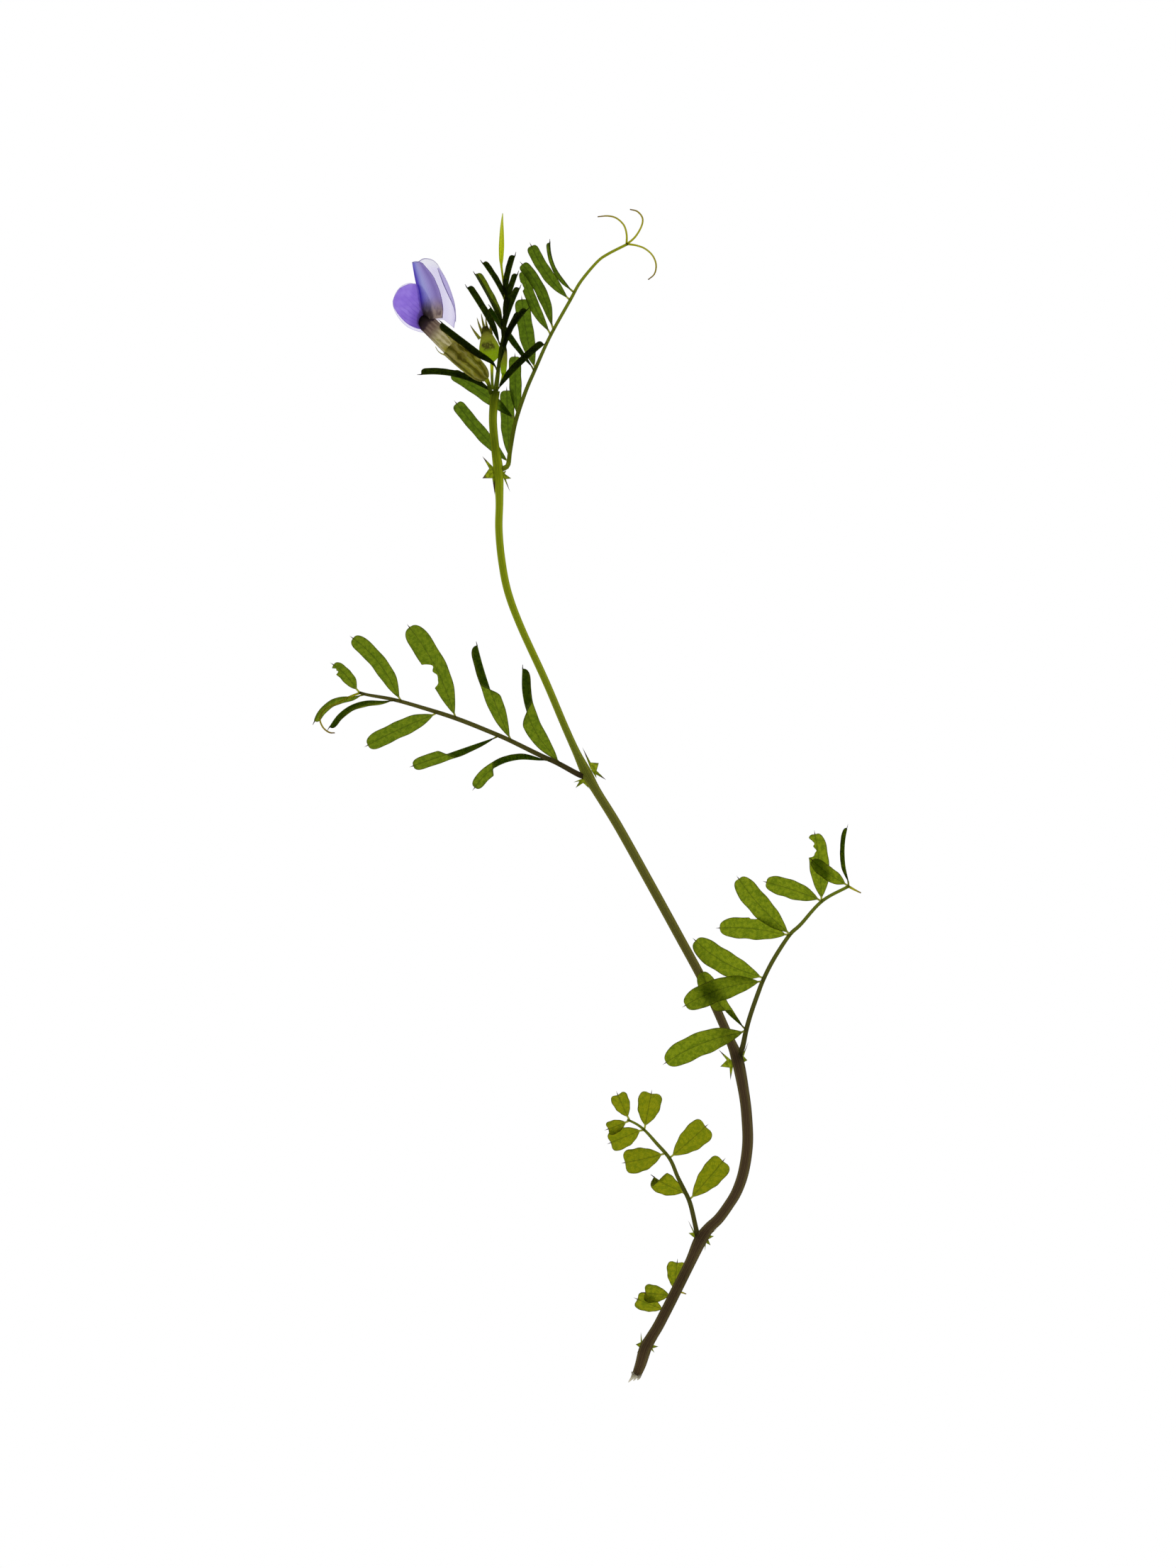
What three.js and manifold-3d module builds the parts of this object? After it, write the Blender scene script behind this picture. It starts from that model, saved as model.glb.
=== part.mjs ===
// A picked flowering sprig of common vetch, lying on its side.
// Millimetres, +Z up. The shoot tip is towards +Y and the cut end towards -Y. The origin is in the
// middle of the sprig's outline, on the surface that it lies on.

import * as THREE from 'three';
import { mergeVertices } from 'three/addons/utils/BufferGeometryUtils.js';
import Module from 'manifold-3d';

const wasm = await Module();
wasm.setup();

// ---- Driving dimensions -------------------------------------------------------------------------

const BLADE = 0.3; // thickness of an open leaflet
const FOLDED = 0.6; // thickness of a leaflet whose halves are still pressed together
const PETAL = 0.25; // thickness of a petal
const REST = BLADE / 2; // height of a blade's middle where it lies on the surface
const NECK = 0.8; // from a stalk's middle to the foot of a leaflet, which leaves it clear
const MUCRO = 0.7; // length of the bristle at a leaflet's tip
const STRAP = 0.4; // how far along it a strap-shaped leaflet reaches its full width
const TENDRIL = 0.3; // thickness of a tendril

// The stem: x, y, height of its underside and width. It lies flat on one of its four sides, but for
// two low arches: over the lowest leaf's stalk and under the flower.
const STEM = [
  [7.3, -103.5, 0, 0.25], [8.1, -102.8, 0, 0.8], [8.8, -101.6, 0, 1.7], [9.5, -100, 0.05, 1.8],
  [10.3, -97.2, 0.6, 2], [11.3, -95.3, 0.95, 1.8], [12.5, -93.3, 1.2, 1.75], [14.1, -90.2, 1.3, 1.75],
  [15.5, -87.4, 1.3, 1.75], [18.2, -82, 1, 1.75], [19.9, -78.3, 0.5, 2.1], [21.4, -76.2, 0.15, 1.8],
  [23.2, -74.5, 0, 1.7], [24.9, -72.2, 0, 1.65], [26.4, -69.7, 0, 1.7], [27.6, -66.2, 0, 1.75],
  [28.3, -61.5, 0, 1.75], [28.2, -57, 0, 1.75], [27.7, -52.5, 0, 1.75], [26.5, -46.4, 0, 1.95],
  [25, -42.5, 0, 1.5], [20.9, -33.4, 0, 1.45], [15.9, -24.1, 0, 1.45], [10.8, -14.8, 0, 1.45],
  [5.5, -5.3, 0, 1.45], [1.8, 0.7, 0, 1.45], [0, 3.9, 0, 1.75], [-1.9, 7.8, 0, 1.25],
  [-4, 12.5, 0, 1.15], [-7.3, 20.3, 0, 1.15], [-11.6, 29.7, 0, 1.15], [-13.9, 35.9, 0, 1.2],
  [-15, 41.5, 0, 1.2], [-15.5, 47, 0, 1.2], [-15.4, 52, 0.3, 1.25], [-15.6, 57.4, 0.9, 1.6],
  [-16.1, 61.1, 1.3, 1.35], [-16.5, 65.5, 1.55, 1.3], [-16.4, 68.5, 1.65, 1.35],
  [-16.1, 70.9, 1.7, 1.5],
];

// The half-arrow stipules at each node: where the stipule sits, its height, and the points that its
// teeth reach, in order round it.
const STIPULES = [
  { at: [9.8, -96.9], height: 0.95, tips: [[9.5, -94.4], [8.6, -96.6], [8.8, -98.2]] },
  { at: [11, -97.1], height: 0.8, tips: [[11.9, -98.1], [12.6, -97], [12.4, -95.6]] },
  { at: [19.5, -77.9], height: 0.9, tips: [[17.8, -74.7], [17.9, -77], [18.6, -78.6]] },
  { at: [20.9, -77.9], height: 0.55, tips: [[20.8, -80.2], [21.8, -79.2], [22.4, -77.6], [23, -76.2]] },
  { at: [25.9, -46.9], height: 0.5, tips: [[23.2, -44.7], [23.5, -47.7], [25.3, -50.1]] },
  { at: [27, -46.8], height: 0.4, tips: [[27.4, -48.2], [28.3, -46.6], [28.5, -43.3]] },
  { at: [0.5, 4.4], height: 0.5, tips: [[1.7, 3.1], [3.4, 2.8], [2.1, 5.8], [-0.8, 8.6]] },
  { at: [-0.5, 3.2], height: 0.4, tips: [[-2.4, 2.4], [-2, 1.4], [0.4, 1.3]] },
  { at: [-16, 57.4], height: 1.5, tips: [[-18.4, 59.8], [-18.4, 55.9], [-16.2, 52.9]] },
  { at: [-15.1, 56.8], height: 1.3, tips: [[-13.5, 53.5], [-13.3, 55.9], [-14.2, 57.3]] },
];

// The leaves, from the cut end up. Their leaflets reach their full width at fullest, from 0 at their
// foot to 1 at their tip. A stalk's rows are x, y, height and thickness, and its last rows are the
// tendril. A leaflet's row is its name, how far along the stalk it grows, the way it points
// in degrees, its length and width, the heights of its foot, arch and tip, and its sideways bow.
const LEAVES = [
  {
    name: 'leaf_1',
    fullest: 0.7,
    stalk: [
      [11.4, -95.5, 0.35, 0.6], [12.5, -93.7, 0.35, 0.55], [14.2, -90.4, 0.35, 0.55],
      [15.1, -88.1, 0.35, 0.5], [15.8, -87.4, 0.35, 0.4], [16.6, -87.5, 0.3, 0.35],
      [17.5, -87.8, 0.2, TENDRIL],
    ],
    branches: [],
    leaflets: [
      ['1_left', 5.4, 158, 6.2, 3, 0.25, 0, REST, 0],
      ['2_left', 8.4, 174, 5.6, 3.4, 0.95, 0, 0.8, 0],
      ['2_right', 8.7, 84, 6.2, 3.4, 0.3, 0, REST, 0],
    ],
  },
  {
    name: 'leaf_2',
    fullest: 0.7,
    stalk: [
      [19.2, -76.1, 1.2, 0.8], [18.2, -71.8, 1.2, 0.75], [17.1, -69.3, 1.2, 0.7], [16, -67.1, 1.2, 0.65],
      [14.6, -63.9, 1.1, 0.6], [12.2, -61.1, 1, 0.5], [10.4, -59.1, 0.9, 0.45], [8.9, -57.9, 0.8, 0.4],
      [7.2, -57.1, 0.7, 0.35],
    ],
    branches: [],
    leaflets: [
      ['1_right', 5, 49, 9.8, 4.5, 1, 0.3, REST, 0],
      ['1_left', 6.1, 151, 7.2, 3.7, 0.45, 0, REST, 0.2],
      ['2_right', 13.2, 41, 9.1, 4.2, 0.9, 0.3, REST, 0],
      ['2_left', 14.3, -167, 7.9, 4.3, 1.2, 0.7, 0.4, 0],
      ['3_right', 19.9, 79, 7.1, 4, 0.7, 0.3, REST, 0],
      ['3_left', 20.1, -157, 6.9, 3.7, 0.6, 0, REST, 0],
      ['4_right', 23, 114, 5.6, 3, 0.6, 0.2, REST, 0],
      ['4_left', 23, -159, 4.6, 2.4, 0.95, 0.3, 0.85, 0],
    ],
  },
  {
    name: 'leaf_3',
    fullest: 0.5,
    stalk: [
      [27.4, -44.2, 1.5, 0.85], [27.8, -41.3, 1.9, 0.8], [28.6, -38.4, 2.2, 0.75], [29.9, -34.7, 2.5, 0.75],
      [31, -32.1, 2.5, 0.7], [32.8, -28.6, 2.4, 0.7], [35.6, -24.4, 2.2, 0.65], [37.5, -22.6, 2, 0.6],
      [41.4, -18.4, 1.6, 0.55], [46.1, -15.8, 1.1, 0.5], [47.3, -16.6, 0.6, 0.35],
      [48.3, -17.1, 0.2, TENDRIL],
    ],
    branches: [],
    leaflets: [
      ['1_left', 3, -157, 15.6, 4.1, 2.1, 0.75, REST, -0.9],
      ['1_right', 3, 126, 13.5, 3.1, 1.95, 0.05, 1.95, 0.9],
      ['2_left', 12.5, -161, 14.9, 3.9, 2.8, 0.9, 1.7, -0.9],
      ['2_right', 12.7, 150, 14.3, 4, 2, 0.1, 1.9, 0.9],
      ['3_left', 21.7, 175, 12.9, 3.6, 1.9, 0.2, REST, -0.5],
      ['3_right', 21.8, 132, 13.8, 3.5, 2.6, 0.5, REST, 0.5],
      ['4_left', 30.1, 162, 10.9, 3.4, 1.8, 0.4, REST, -0.2],
      ['4_right', 30.1, 96, 12.4, 3.4, 1, 0, REST, -0.2],
      ['5_left', 35.3, 143, 8.3, 2.2, 1.4, 0.3, 1.2, 0.3],
      ['5_right', 35.5, 90, 10.8, 1.4, 0.9, 0.2, REST, 0.7],
    ],
  },
  {
    name: 'leaf_4',
    fullest: STRAP,
    stalk: [
      [-1.7, 3.9, 0.9, 0.9], [-5.2, 5.8, 1.3, 0.85], [-8.1, 7.1, 1.5, 0.8], [-13.4, 9.8, 1.6, 0.75],
      [-16.6, 11.2, 1.6, 0.75], [-22.9, 13.8, 1.5, 0.75], [-29.5, 15.8, 1.3, 0.65], [-34.2, 17.2, 1.2, 0.6],
      [-38.6, 17.9, 1.1, 0.5], [-40, 18.2, 1.1, 0.45], [-42.1, 17.3, 1.1, 0.35], [-43.9, 16.3, 1.2, TENDRIL],
      [-46.2, 15.2, 1.1, TENDRIL], [-47, 13.6, 0.9, TENDRIL], [-46.5, 12.1, 0.8, TENDRIL],
      [-45.4, 11.2, 0.8, TENDRIL], [-44.4, 11.1, 0.8, TENDRIL],
    ],
    branches: [],
    leaflets: [
      ['1_right', 4.2, 109, 18.2, 3.1, 1.2, 0.8, REST, 2],
      ['1_left', 6.2, -156, 14.2, 1.6, 1.2, 0.4, REST, -2.2],
      ['2_right', 13.3, 109, 18.3, 2.5, 1.4, 0.8, REST, 0.4],
      ['2_left', 15.1, -161, 17, 1.6, 1.4, 0.4, REST, 0],
      ['3_right', 23.5, 118, 18.6, 4, 1.3, 0.8, REST, -0.9],
      ['3_left', 26.7, -155, 14.6, 2.6, 1.2, 0.4, REST, -0.2],
      ['4_right', 33.5, 129, 14.7, 3, 1, 0.6, REST, -1],
      ['4_left', 35.6, -153, 12.6, 1.4, 0.9, 0.2, REST, -2],
      ['5_right', 41.1, 135, 7.4, 2.1, 0.9, 0.4, REST, -0.4],
      ['5_left', 41.1, -146, 10.1, 1.4, 0.35, 0, REST, -1.5],
    ],
  },
  {
    name: 'leaf_5',
    fullest: STRAP,
    stalk: [
      [-13.9, 58.2, 1.6, 0.75], [-13.5, 60.8, 1.5, 0.7], [-12.6, 65.7, 1.4, 0.7], [-10.9, 70.9, 1.3, 0.65],
      [-9.2, 74.9, 1.2, 0.65], [-6.5, 80.9, 1, 0.6], [-3, 87.4, 0.9, 0.55], [-1.2, 90.7, 0.7, 0.5],
      [1.8, 94.2, 0.4, 0.45], [3.7, 95.6, 0.35, 0.45], [7.2, 97.4, 0.3, 0.45], [8.5, 98.5, 0.5, 0.35],
      [9.6, 100.3, 0.8, TENDRIL], [9.8, 101.8, 0.7, TENDRIL], [8.9, 103, 0.4, TENDRIL],
      [7.6, 103.45, 0.2, TENDRIL],
    ],
    branches: [
      [
        [7, 97.3, 0.3], [7, 99, 0.35], [6.5, 100.6, 0.5], [5.2, 101.8, 0.6], [3.7, 102.2, 0.5],
        [1.9, 102.1, 0.2],
      ],
      [
        [7, 97.4, 0.3], [8.8, 97, 0.4], [10.3, 96.4, 0.5], [11.6, 95.2, 0.5], [12.2, 93.6, 0.4],
        [11.9, 92, 0.3], [10.8, 91, 0.2],
      ],
    ],
    leaflets: [
      ['1_left', 0.5, 131, 14.6, 2.2, 0.45, 0, REST, 0.2],
      ['1_right', 1.3, 92, 12.7, 2.5, 0.6, 0, REST, 0],
      ['2_left', 8.2, 144, 14.6, 2.1, 1.2, -0.1, REST, -0.3],
      ['2_right', 8.8, 92, 11.3, 2.1, 0.75, 0.15, REST, 0.1],
      ['3_right', 17.5, 100, 13.5, 2.5, 0.4, 0, REST, 0.3],
      ['3_left', 17.5, 125, 14.3, 2, 1.35, 0, REST, -0.3],
      ['4_left', 24.2, 112, 13, 1.8, 0.8, 0.15, REST, 0.7],
      ['4_right', 25.6, 117, 13.3, 1.8, 1.25, 0.15, 0.8, -0.9],
      ['5_left', 31.2, 124, 12.5, 2.1, 0.5, 0.2, REST, 0.6],
      ['5_right', 32.4, 112, 10.6, 1.1, 1.1, 0.3, 0.6, 1],
    ],
  },
];

// The shoot tip: a young leaf not yet opened, whose leaflets are folded flat along their midribs.
const SHOOT = {
  stalk: [
    [-16, 71.4, 2.5, 0.9], [-15.6, 74.5, 2.9, 0.8], [-15.2, 78.2, 3.2, 0.75], [-14.6, 81.4, 3.3, 0.7],
    [-14.2, 85.7, 3.2, 0.6], [-14.6, 89.8, 3, 0.5], [-15, 93, 2.8, 0.5], [-15, 95.5, 2.7, 0.8],
    [-14.9, 98, 2.6, 0.9], [-14.9, 101, 2.5, 0.6], [-14.9, 102.7, 2.5, 0.25],
  ],
  leaflets: [
    ['left_1', 7.5, 120, 12.7, 1.1, 3.4, 0, 2.2, 0], ['left_2', 10.4, 117, 11.7, 1.5, 3.3, 0, 2.4, 0],
    ['left_3', 15.3, 121, 8.7, 1, 3.1, 0, 2.6, 0], ['right_1', 6.6, 57, 9.4, 0.9, 3.2, 0, 2.6, 0.3],
    ['right_2', 7.8, 72, 11.2, 1, 3.3, 0, 2.4, 0.3], ['right_3', 10.8, 76, 10.4, 0.9, 3.3, 0, 2.6, 0.3],
    ['right_4', 14.8, 80, 9.3, 0.9, 3.1, 0, 2.8, 0.3],
  ],
};

// Three larger leaflets of the shoot that stand clear of it: their foot, direction, length, width,
// heights of foot, arch and tip, and bow.
const SHOOT_LEAFLETS = [
  ['shoot_leaflet_left', [-17.6, 71.6], 168, 12.5, 1.8, 1.3, 0.3, 0.35, -1],
  ['shoot_leaflet_right', [-14.8, 72.4], 43.5, 10.8, 1.9, 2.5, 0, 2.15, 0.2],
  ['shoot_leaflet_flower', [-16.6, 76.4], 143.5, 11.7, 1.9, 3.2, 0.3, 5.1, 0],
];

// The flower: its foot, the way its tube points in degrees, and the height of its plane of symmetry.
const FLOWER = { foot: [-17.6, 73.3], heading: 137, height: 2.2 };
const CALYX_WALL = 0.3;
// The calyx cup's outline, as distance from its foot and outer radius.
const CALYX = [[0, 0.6], [0.6, 1.05], [1.6, 1.45], [3.5, 1.7], [6, 1.82], [8.5, 1.9]];
const CALYX_TEETH = [[180, 2.2], [108, 2], [252, 2], [36, 0.8], [324, 0.8]]; // angle from the back, length

// ---- Shapes -------------------------------------------------------------------------------------

const DEG = Math.PI / 180;
const UP = new THREE.Vector3(0, 0, 1);
const vector = (row) => new THREE.Vector3(row[0], row[1], row[2] ?? 0);
const mix = (a, b, t) => a + (b - a) * t;
const smooth = (t) => THREE.MathUtils.smoothstep(t, 0, 1);

// The value at t, from 0 to 1, of a list of numbers spread evenly.
function along(values, t) {
  const place = Math.min(t, 1) * (values.length - 1);
  const low = Math.min(Math.floor(place), values.length - 2);
  return mix(values[low], values[low + 1], place - low);
}

// Turns a closed geometry's triangles round if they face inwards.
function facingOut(geometry) {
  const p = geometry.attributes.position;
  const index = geometry.index.array;
  const [a, b, c] = [new THREE.Vector3(), new THREE.Vector3(), new THREE.Vector3()];
  let volume = 0;
  for (let i = 0; i < index.length; i += 3) {
    a.fromBufferAttribute(p, index[i]);
    b.fromBufferAttribute(p, index[i + 1]);
    c.fromBufferAttribute(p, index[i + 2]);
    volume += a.dot(b.cross(c));
  }
  if (volume < 0) index.reverse();
  return geometry;
}

// A closed body through rings that all have the same even number of corners. Each end is closed by
// a strip that zips the ring's two sides together, which suits a thin folded section too.
function loft(rings) {
  const size = rings[0].length;
  const faces = [];
  const quad = (a, b, c, d) => faces.push(a, b, c, a, c, d);
  for (let i = 0; i < rings.length - 1; i += 1) {
    for (let j = 0; j < size; j += 1) {
      const next = (j + 1) % size;
      quad(i * size + j, i * size + next, (i + 1) * size + next, (i + 1) * size + j);
    }
  }
  const last = (rings.length - 1) * size;
  for (let j = 0; j < size / 2 - 1; j += 1) {
    quad(j, size - 1 - j, size - 2 - j, j + 1);
    quad(last + j, last + j + 1, last + size - 2 - j, last + size - 1 - j);
  }
  const geometry = new THREE.BufferGeometry();
  const corners = rings.flat().flatMap((p) => [p.x, p.y, p.z]);
  geometry.setAttribute('position', new THREE.Float32BufferAttribute(corners, 3));
  geometry.setIndex(faces);
  return facingOut(geometry);
}

// The smooth line through rows of x, y and height.
const line = (rows) => new THREE.CatmullRomCurve3(rows.map(vector));

// A tapering stalk along rows of x, y, height and thickness.
function stalk(rows, sides = 6, stepsPerRow = 2) {
  const curve = line(rows);
  const widths = rows.map((row) => row[3] ?? TENDRIL);
  const steps = (rows.length - 1) * stepsPerRow;
  const rings = Array.from({ length: steps + 1 }, (_, i) => {
    const t = i / steps;
    const middle = curve.getPoint(t);
    const forward = curve.getTangent(t);
    const side = forward.clone().cross(UP).normalize();
    const up = side.clone().cross(forward);
    return Array.from({ length: sides }, (__, j) => {
      const angle = ((j + 0.5) * 2 * Math.PI) / sides;
      const radius = along(widths, t) / 2;
      return middle.clone()
        .addScaledVector(side, radius * Math.cos(angle))
        .addScaledVector(up, radius * Math.sin(angle));
    });
  });
  return loft(rings);
}

// The four-sided stem, whose section has a flat foot, straight sides and sloped edges.
function stemBody() {
  const curve = line(STEM);
  const widths = STEM.map((row) => row[3]);
  const section = [
    [-0.25, 0], [-0.5, 0.28], [-0.5, 0.72], [-0.25, 1], [0.25, 1], [0.5, 0.72], [0.5, 0.28], [0.25, 0],
  ];
  const steps = (STEM.length - 1) * 2;
  const rings = Array.from({ length: steps + 1 }, (_, i) => {
    const t = i / steps;
    const foot = curve.getPoint(t);
    foot.z = Math.max(foot.z, 0);
    const side = curve.getTangent(t).setZ(0).cross(UP).normalize();
    const width = along(widths, t);
    return section.map(([across, up]) => foot.clone()
      .addScaledVector(side, across * width)
      .addScaledVector(UP, up * width));
  });
  return loft(rings);
}

// A thin sheet of even thickness about surface(t, u), with t along it and u across it from -1 to 1.
function sheet(surface, places, widthSteps, thickness) {
  const nudge = 0.01;
  const rings = places.map((t) => {
    const top = [];
    const bottom = [];
    for (let j = 0; j <= widthSteps; j += 1) {
      const u = -1 + (2 * j) / widthSteps;
      const lengthwise = surface(Math.min(t + nudge, 1), u).sub(surface(Math.max(t - nudge, 0), u));
      const crosswise = surface(t, Math.min(u + nudge, 1)).sub(surface(t, Math.max(u - nudge, -1)));
      const normal = lengthwise.cross(crosswise).normalize();
      top.push(surface(t, u).addScaledVector(normal, thickness / 2));
      bottom.unshift(surface(t, u).addScaledVector(normal, -thickness / 2));
    }
    return [...top, ...bottom];
  });
  return loft(rings);
}

// A leaflet: a long blade with a blunt tip, on a short neck, ending in a bristle. Its halves rise a
// little from the midrib. u runs across it and t along it.
function leaflet(foot, heading, length, width, arch, tip, bow, fullest = STRAP, thickness = BLADE) {
  const forward = new THREE.Vector3(Math.cos(heading * DEG), Math.sin(heading * DEG), 0);
  const side = new THREE.Vector3(-forward.y, forward.x, 0);
  const bladeEnd = 1 - MUCRO / length;
  const bluntness = (0.6 * width) / length;
  const bluntStart = bladeEnd - bluntness;
  const halfRise = Math.tan(8 * DEG);
  const leastHalf = 0.12;
  const halfWidth = (t) => {
    if (t > bladeEnd) return 0.1;
    const widening = Math.sin((Math.PI / 2) * Math.min(t / (bladeEnd * fullest), 1)) ** 0.8;
    const rounding = Math.sqrt(1 - THREE.MathUtils.clamp((t - bluntStart) / bluntness, 0, 1) ** 2);
    return Math.max((width / 2) * widening * rounding, leastHalf);
  };
  const surface = (t, u) => {
    const hump = 4 * t * (1 - t);
    const half = halfWidth(t);
    return foot.clone()
      .addScaledVector(forward, length * t)
      .addScaledVector(side, bow * hump + u * half)
      .addScaledVector(UP, (tip - foot.z) * t + arch * hump + Math.abs(u) * half * halfRise);
  };
  const straight = [0, 0.07, 0.17, 0.32, 0.5, 0.75, 1].map((v) => v * bluntStart);
  const rounded = [0.4, 0.7, 0.9, 0.99].map((v) => bluntStart + v * bluntness);
  return sheet(surface, [...straight, ...rounded, bladeEnd + 0.01, 1], 2, thickness);
}

// A stipule: a small toothed plate that reaches from its seat to each of its tips in turn.
function stipule({ at, height, tips }) {
  const seat = new THREE.Vector2(...at);
  const points = tips.map((tip) => new THREE.Vector2(...tip));
  const outline = [seat];
  points.forEach((point, i) => {
    if (i > 0) outline.push(points[i - 1].clone().add(point).multiplyScalar(0.5).lerp(seat, 0.45));
    outline.push(point);
  });
  const shape = new THREE.Shape(outline);
  const plate = new THREE.ExtrudeGeometry(shape, { depth: BLADE, bevelEnabled: false });
  return plate.translate(0, 0, height - BLADE / 2);
}

// One solid from several that overlap.
function join(geometries) {
  const solids = geometries.map((geometry) => {
    const bare = geometry.clone();
    bare.deleteAttribute('normal');
    bare.deleteAttribute('uv');
    const merged = mergeVertices(bare, 1e-4);
    const corners = merged.index.array;
    const kept = [];
    for (let i = 0; i < corners.length; i += 3) {
      const [a, b, c] = corners.slice(i, i + 3);
      if (a !== b && b !== c && c !== a) kept.push(a, b, c);
    }
    const vertProperties = merged.attributes.position.array;
    const triVerts = Uint32Array.from(kept);
    return new wasm.Manifold(new wasm.Mesh({ numProp: 3, vertProperties, triVerts }));
  });
  const { vertProperties, triVerts } = solids.reduce((whole, next) => whole.add(next)).getMesh();
  const joined = new THREE.BufferGeometry();
  joined.setAttribute('position', new THREE.BufferAttribute(vertProperties, 3));
  joined.setIndex([...triVerts]);
  return joined;
}

// ---- The flower ---------------------------------------------------------------------------------

// The flower's own frame: s runs along its tube from the foot, n towards its back, and l across its
// plane of symmetry, which lies level.
const tubeWay = new THREE.Vector3(Math.cos(FLOWER.heading * DEG), Math.sin(FLOWER.heading * DEG), 0);
const backWay = new THREE.Vector3(tubeWay.y, -tubeWay.x, 0);
const flowerFoot = new THREE.Vector3(...FLOWER.foot, FLOWER.height);
const inFlower = (s, n, l) => flowerFoot.clone()
  .addScaledVector(tubeWay, s)
  .addScaledVector(backWay, n)
  .addScaledVector(UP, l);
const flowerFrame = new THREE.Matrix4().makeBasis(backWay, tubeWay, UP).setPosition(flowerFoot);

// A point at t on the smooth line through pairs of s and n.
function track(pairs) {
  const curve = line(pairs);
  return (t) => curve.getPoint(t);
}

// The calyx: a hollow cup with five teeth on its rim and its short stalk at its foot.
function calyxBody() {
  const rim = CALYX.at(-1);
  const outer = CALYX.map(([s, radius]) => new THREE.Vector2(radius, s));
  const inner = CALYX.slice(2).map(([s, radius]) => new THREE.Vector2(radius - CALYX_WALL, s));
  const profile = [new THREE.Vector2(0, 0), ...outer, ...inner.reverse(), new THREE.Vector2(0, CALYX[2][0])];
  const cup = new THREE.LatheGeometry(profile, 16).applyMatrix4(flowerFrame);
  const teeth = CALYX_TEETH.map(([angle, length]) => {
    const buried = 0.6;
    const tooth = new THREE.ConeGeometry(0.42, length + buried, 4).scale(0.35, 1, 1.2);
    tooth.translate(rim[1] - CALYX_WALL / 2, rim[0] + (length - buried) / 2, 0);
    return tooth.rotateY(angle * DEG).applyMatrix4(flowerFrame);
  });
  const pedicel = stalk([[-17.1, 71.3, 2.6, 0.6], [-17.3, 72.3, 2.4, 0.6], [-17.7, 73.5, 2.2, 0.9]]);
  return join([cup, ...teeth, pedicel]);
}

// The standard, the large back petal: a hood folded down its back line, whose two halves reach
// forwards on both sides of the wings. Its claw wraps the tube inside the calyx.
function standardBody() {
  const back = track([
    [6, 1.1], [8.5, 1.15], [9.6, 1.7], [10.6, 3], [12, 4.6], [14, 6.3], [16.6, 7.8], [19.3, 8.7],
    [21.6, 8.5],
  ]);
  const front = track([
    [6, 0.1], [8.5, 0], [10.5, -0.1], [12.5, -0.4], [14.5, 0], [17, 1.2], [19.5, 3.1], [22, 5.1],
    [23.3, 6.6],
  ]);
  const spread = [1.1, 1.15, 1.4, 1.7, 1.85, 1.9, 1.9, 1.6, 0.9];
  const lift = [1, 1, 1, 1.05, 1.15, 1.25, 1.3, 1.3, 1.2];
  const surface = (t, u) => {
    const v = Math.abs(u);
    const point = back(t).lerp(front(t), v ** 1.3);
    const side = along(spread, t) * Math.sin(Math.min(v * 1.5, 1) * (Math.PI / 2));
    return inFlower(point.x, point.y, u > 0 ? side * along(lift, t) : -side);
  };
  const places = Array.from({ length: 17 }, (_, i) => i / 16);
  return sheet(surface, places, 8, PETAL);
}

// A wing: an oval blade on a narrow claw, a little domed away from the keel.
function wingBody(side) {
  const middle = track([
    [6.5, -0.1], [8.5, -0.2], [10.5, -0.1], [12.5, 0], [14.5, 0], [17, 0.2], [19.5, 0.7],
    [21.5, 0.9], [22.4, 1],
  ]);
  const half = [0.4, 0.8, 1.3, 1.8, 2.3, 3, 3.1, 2.2, 0.5];
  const dome = [0.45, 0.45, 0.55, 0.75, 0.95, 1.2, 1.2, 1, 0.8];
  const surface = (t, u) => {
    const point = middle(t);
    const bulge = along(dome, t) - 0.35 * u * u * smooth(2 * t - 0.6);
    return inFlower(point.x, point.y + u * along(half, t), side * bulge);
  };
  const places = Array.from({ length: 13 }, (_, i) => i / 12);
  return sheet(surface, places, 4, PETAL);
}

// The keel: two petals joined along their edge into a flat boat between the wings.
function keelBody() {
  const middle = track([[7, -0.2], [9.5, -0.3], [12, -0.4], [14.5, -0.1], [17, 0.8], [18.6, 1.8]]);
  const half = [0.3, 0.6, 1, 1.4, 1.3, 0.3];
  const surface = (t, u) => {
    const point = middle(t);
    return inFlower(point.x, point.y + u * along(half, t), 0);
  };
  const places = Array.from({ length: 9 }, (_, i) => i / 8);
  return sheet(surface, places, 2, PETAL);
}

// A bud: a closed, flattened calyx with pointed teeth, on its stalk. The profile is distance along
// it and radius, and the teeth are their angle, how far they lean out in degrees and their length.
function budBody({ foot, heading, profile, flatness, teeth, pedicel }) {
  const way = new THREE.Vector3(Math.cos(heading * DEG), Math.sin(heading * DEG), 0);
  const across = new THREE.Vector3(way.y, -way.x, 0);
  const frame = new THREE.Matrix4().makeBasis(across, way, UP).setPosition(vector(foot));
  const [topAt] = profile.at(-1);
  const outline = [[0, 0], ...profile.map(([s, radius]) => [radius, s]), [0, topAt]];
  const body = new THREE.LatheGeometry(outline.map(([x, y]) => new THREE.Vector2(x, y)), 12);
  body.scale(1, 1, flatness).applyMatrix4(frame);
  const points = teeth.map(([sideways, lean, length]) => {
    const tooth = new THREE.ConeGeometry(0.3, length, 5).translate(0, length / 2, 0);
    return tooth.rotateZ(-lean * DEG).translate(sideways, topAt - 0.6, 0).applyMatrix4(frame);
  });
  return join([body, ...points, stalk(pedicel)]);
}

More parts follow.
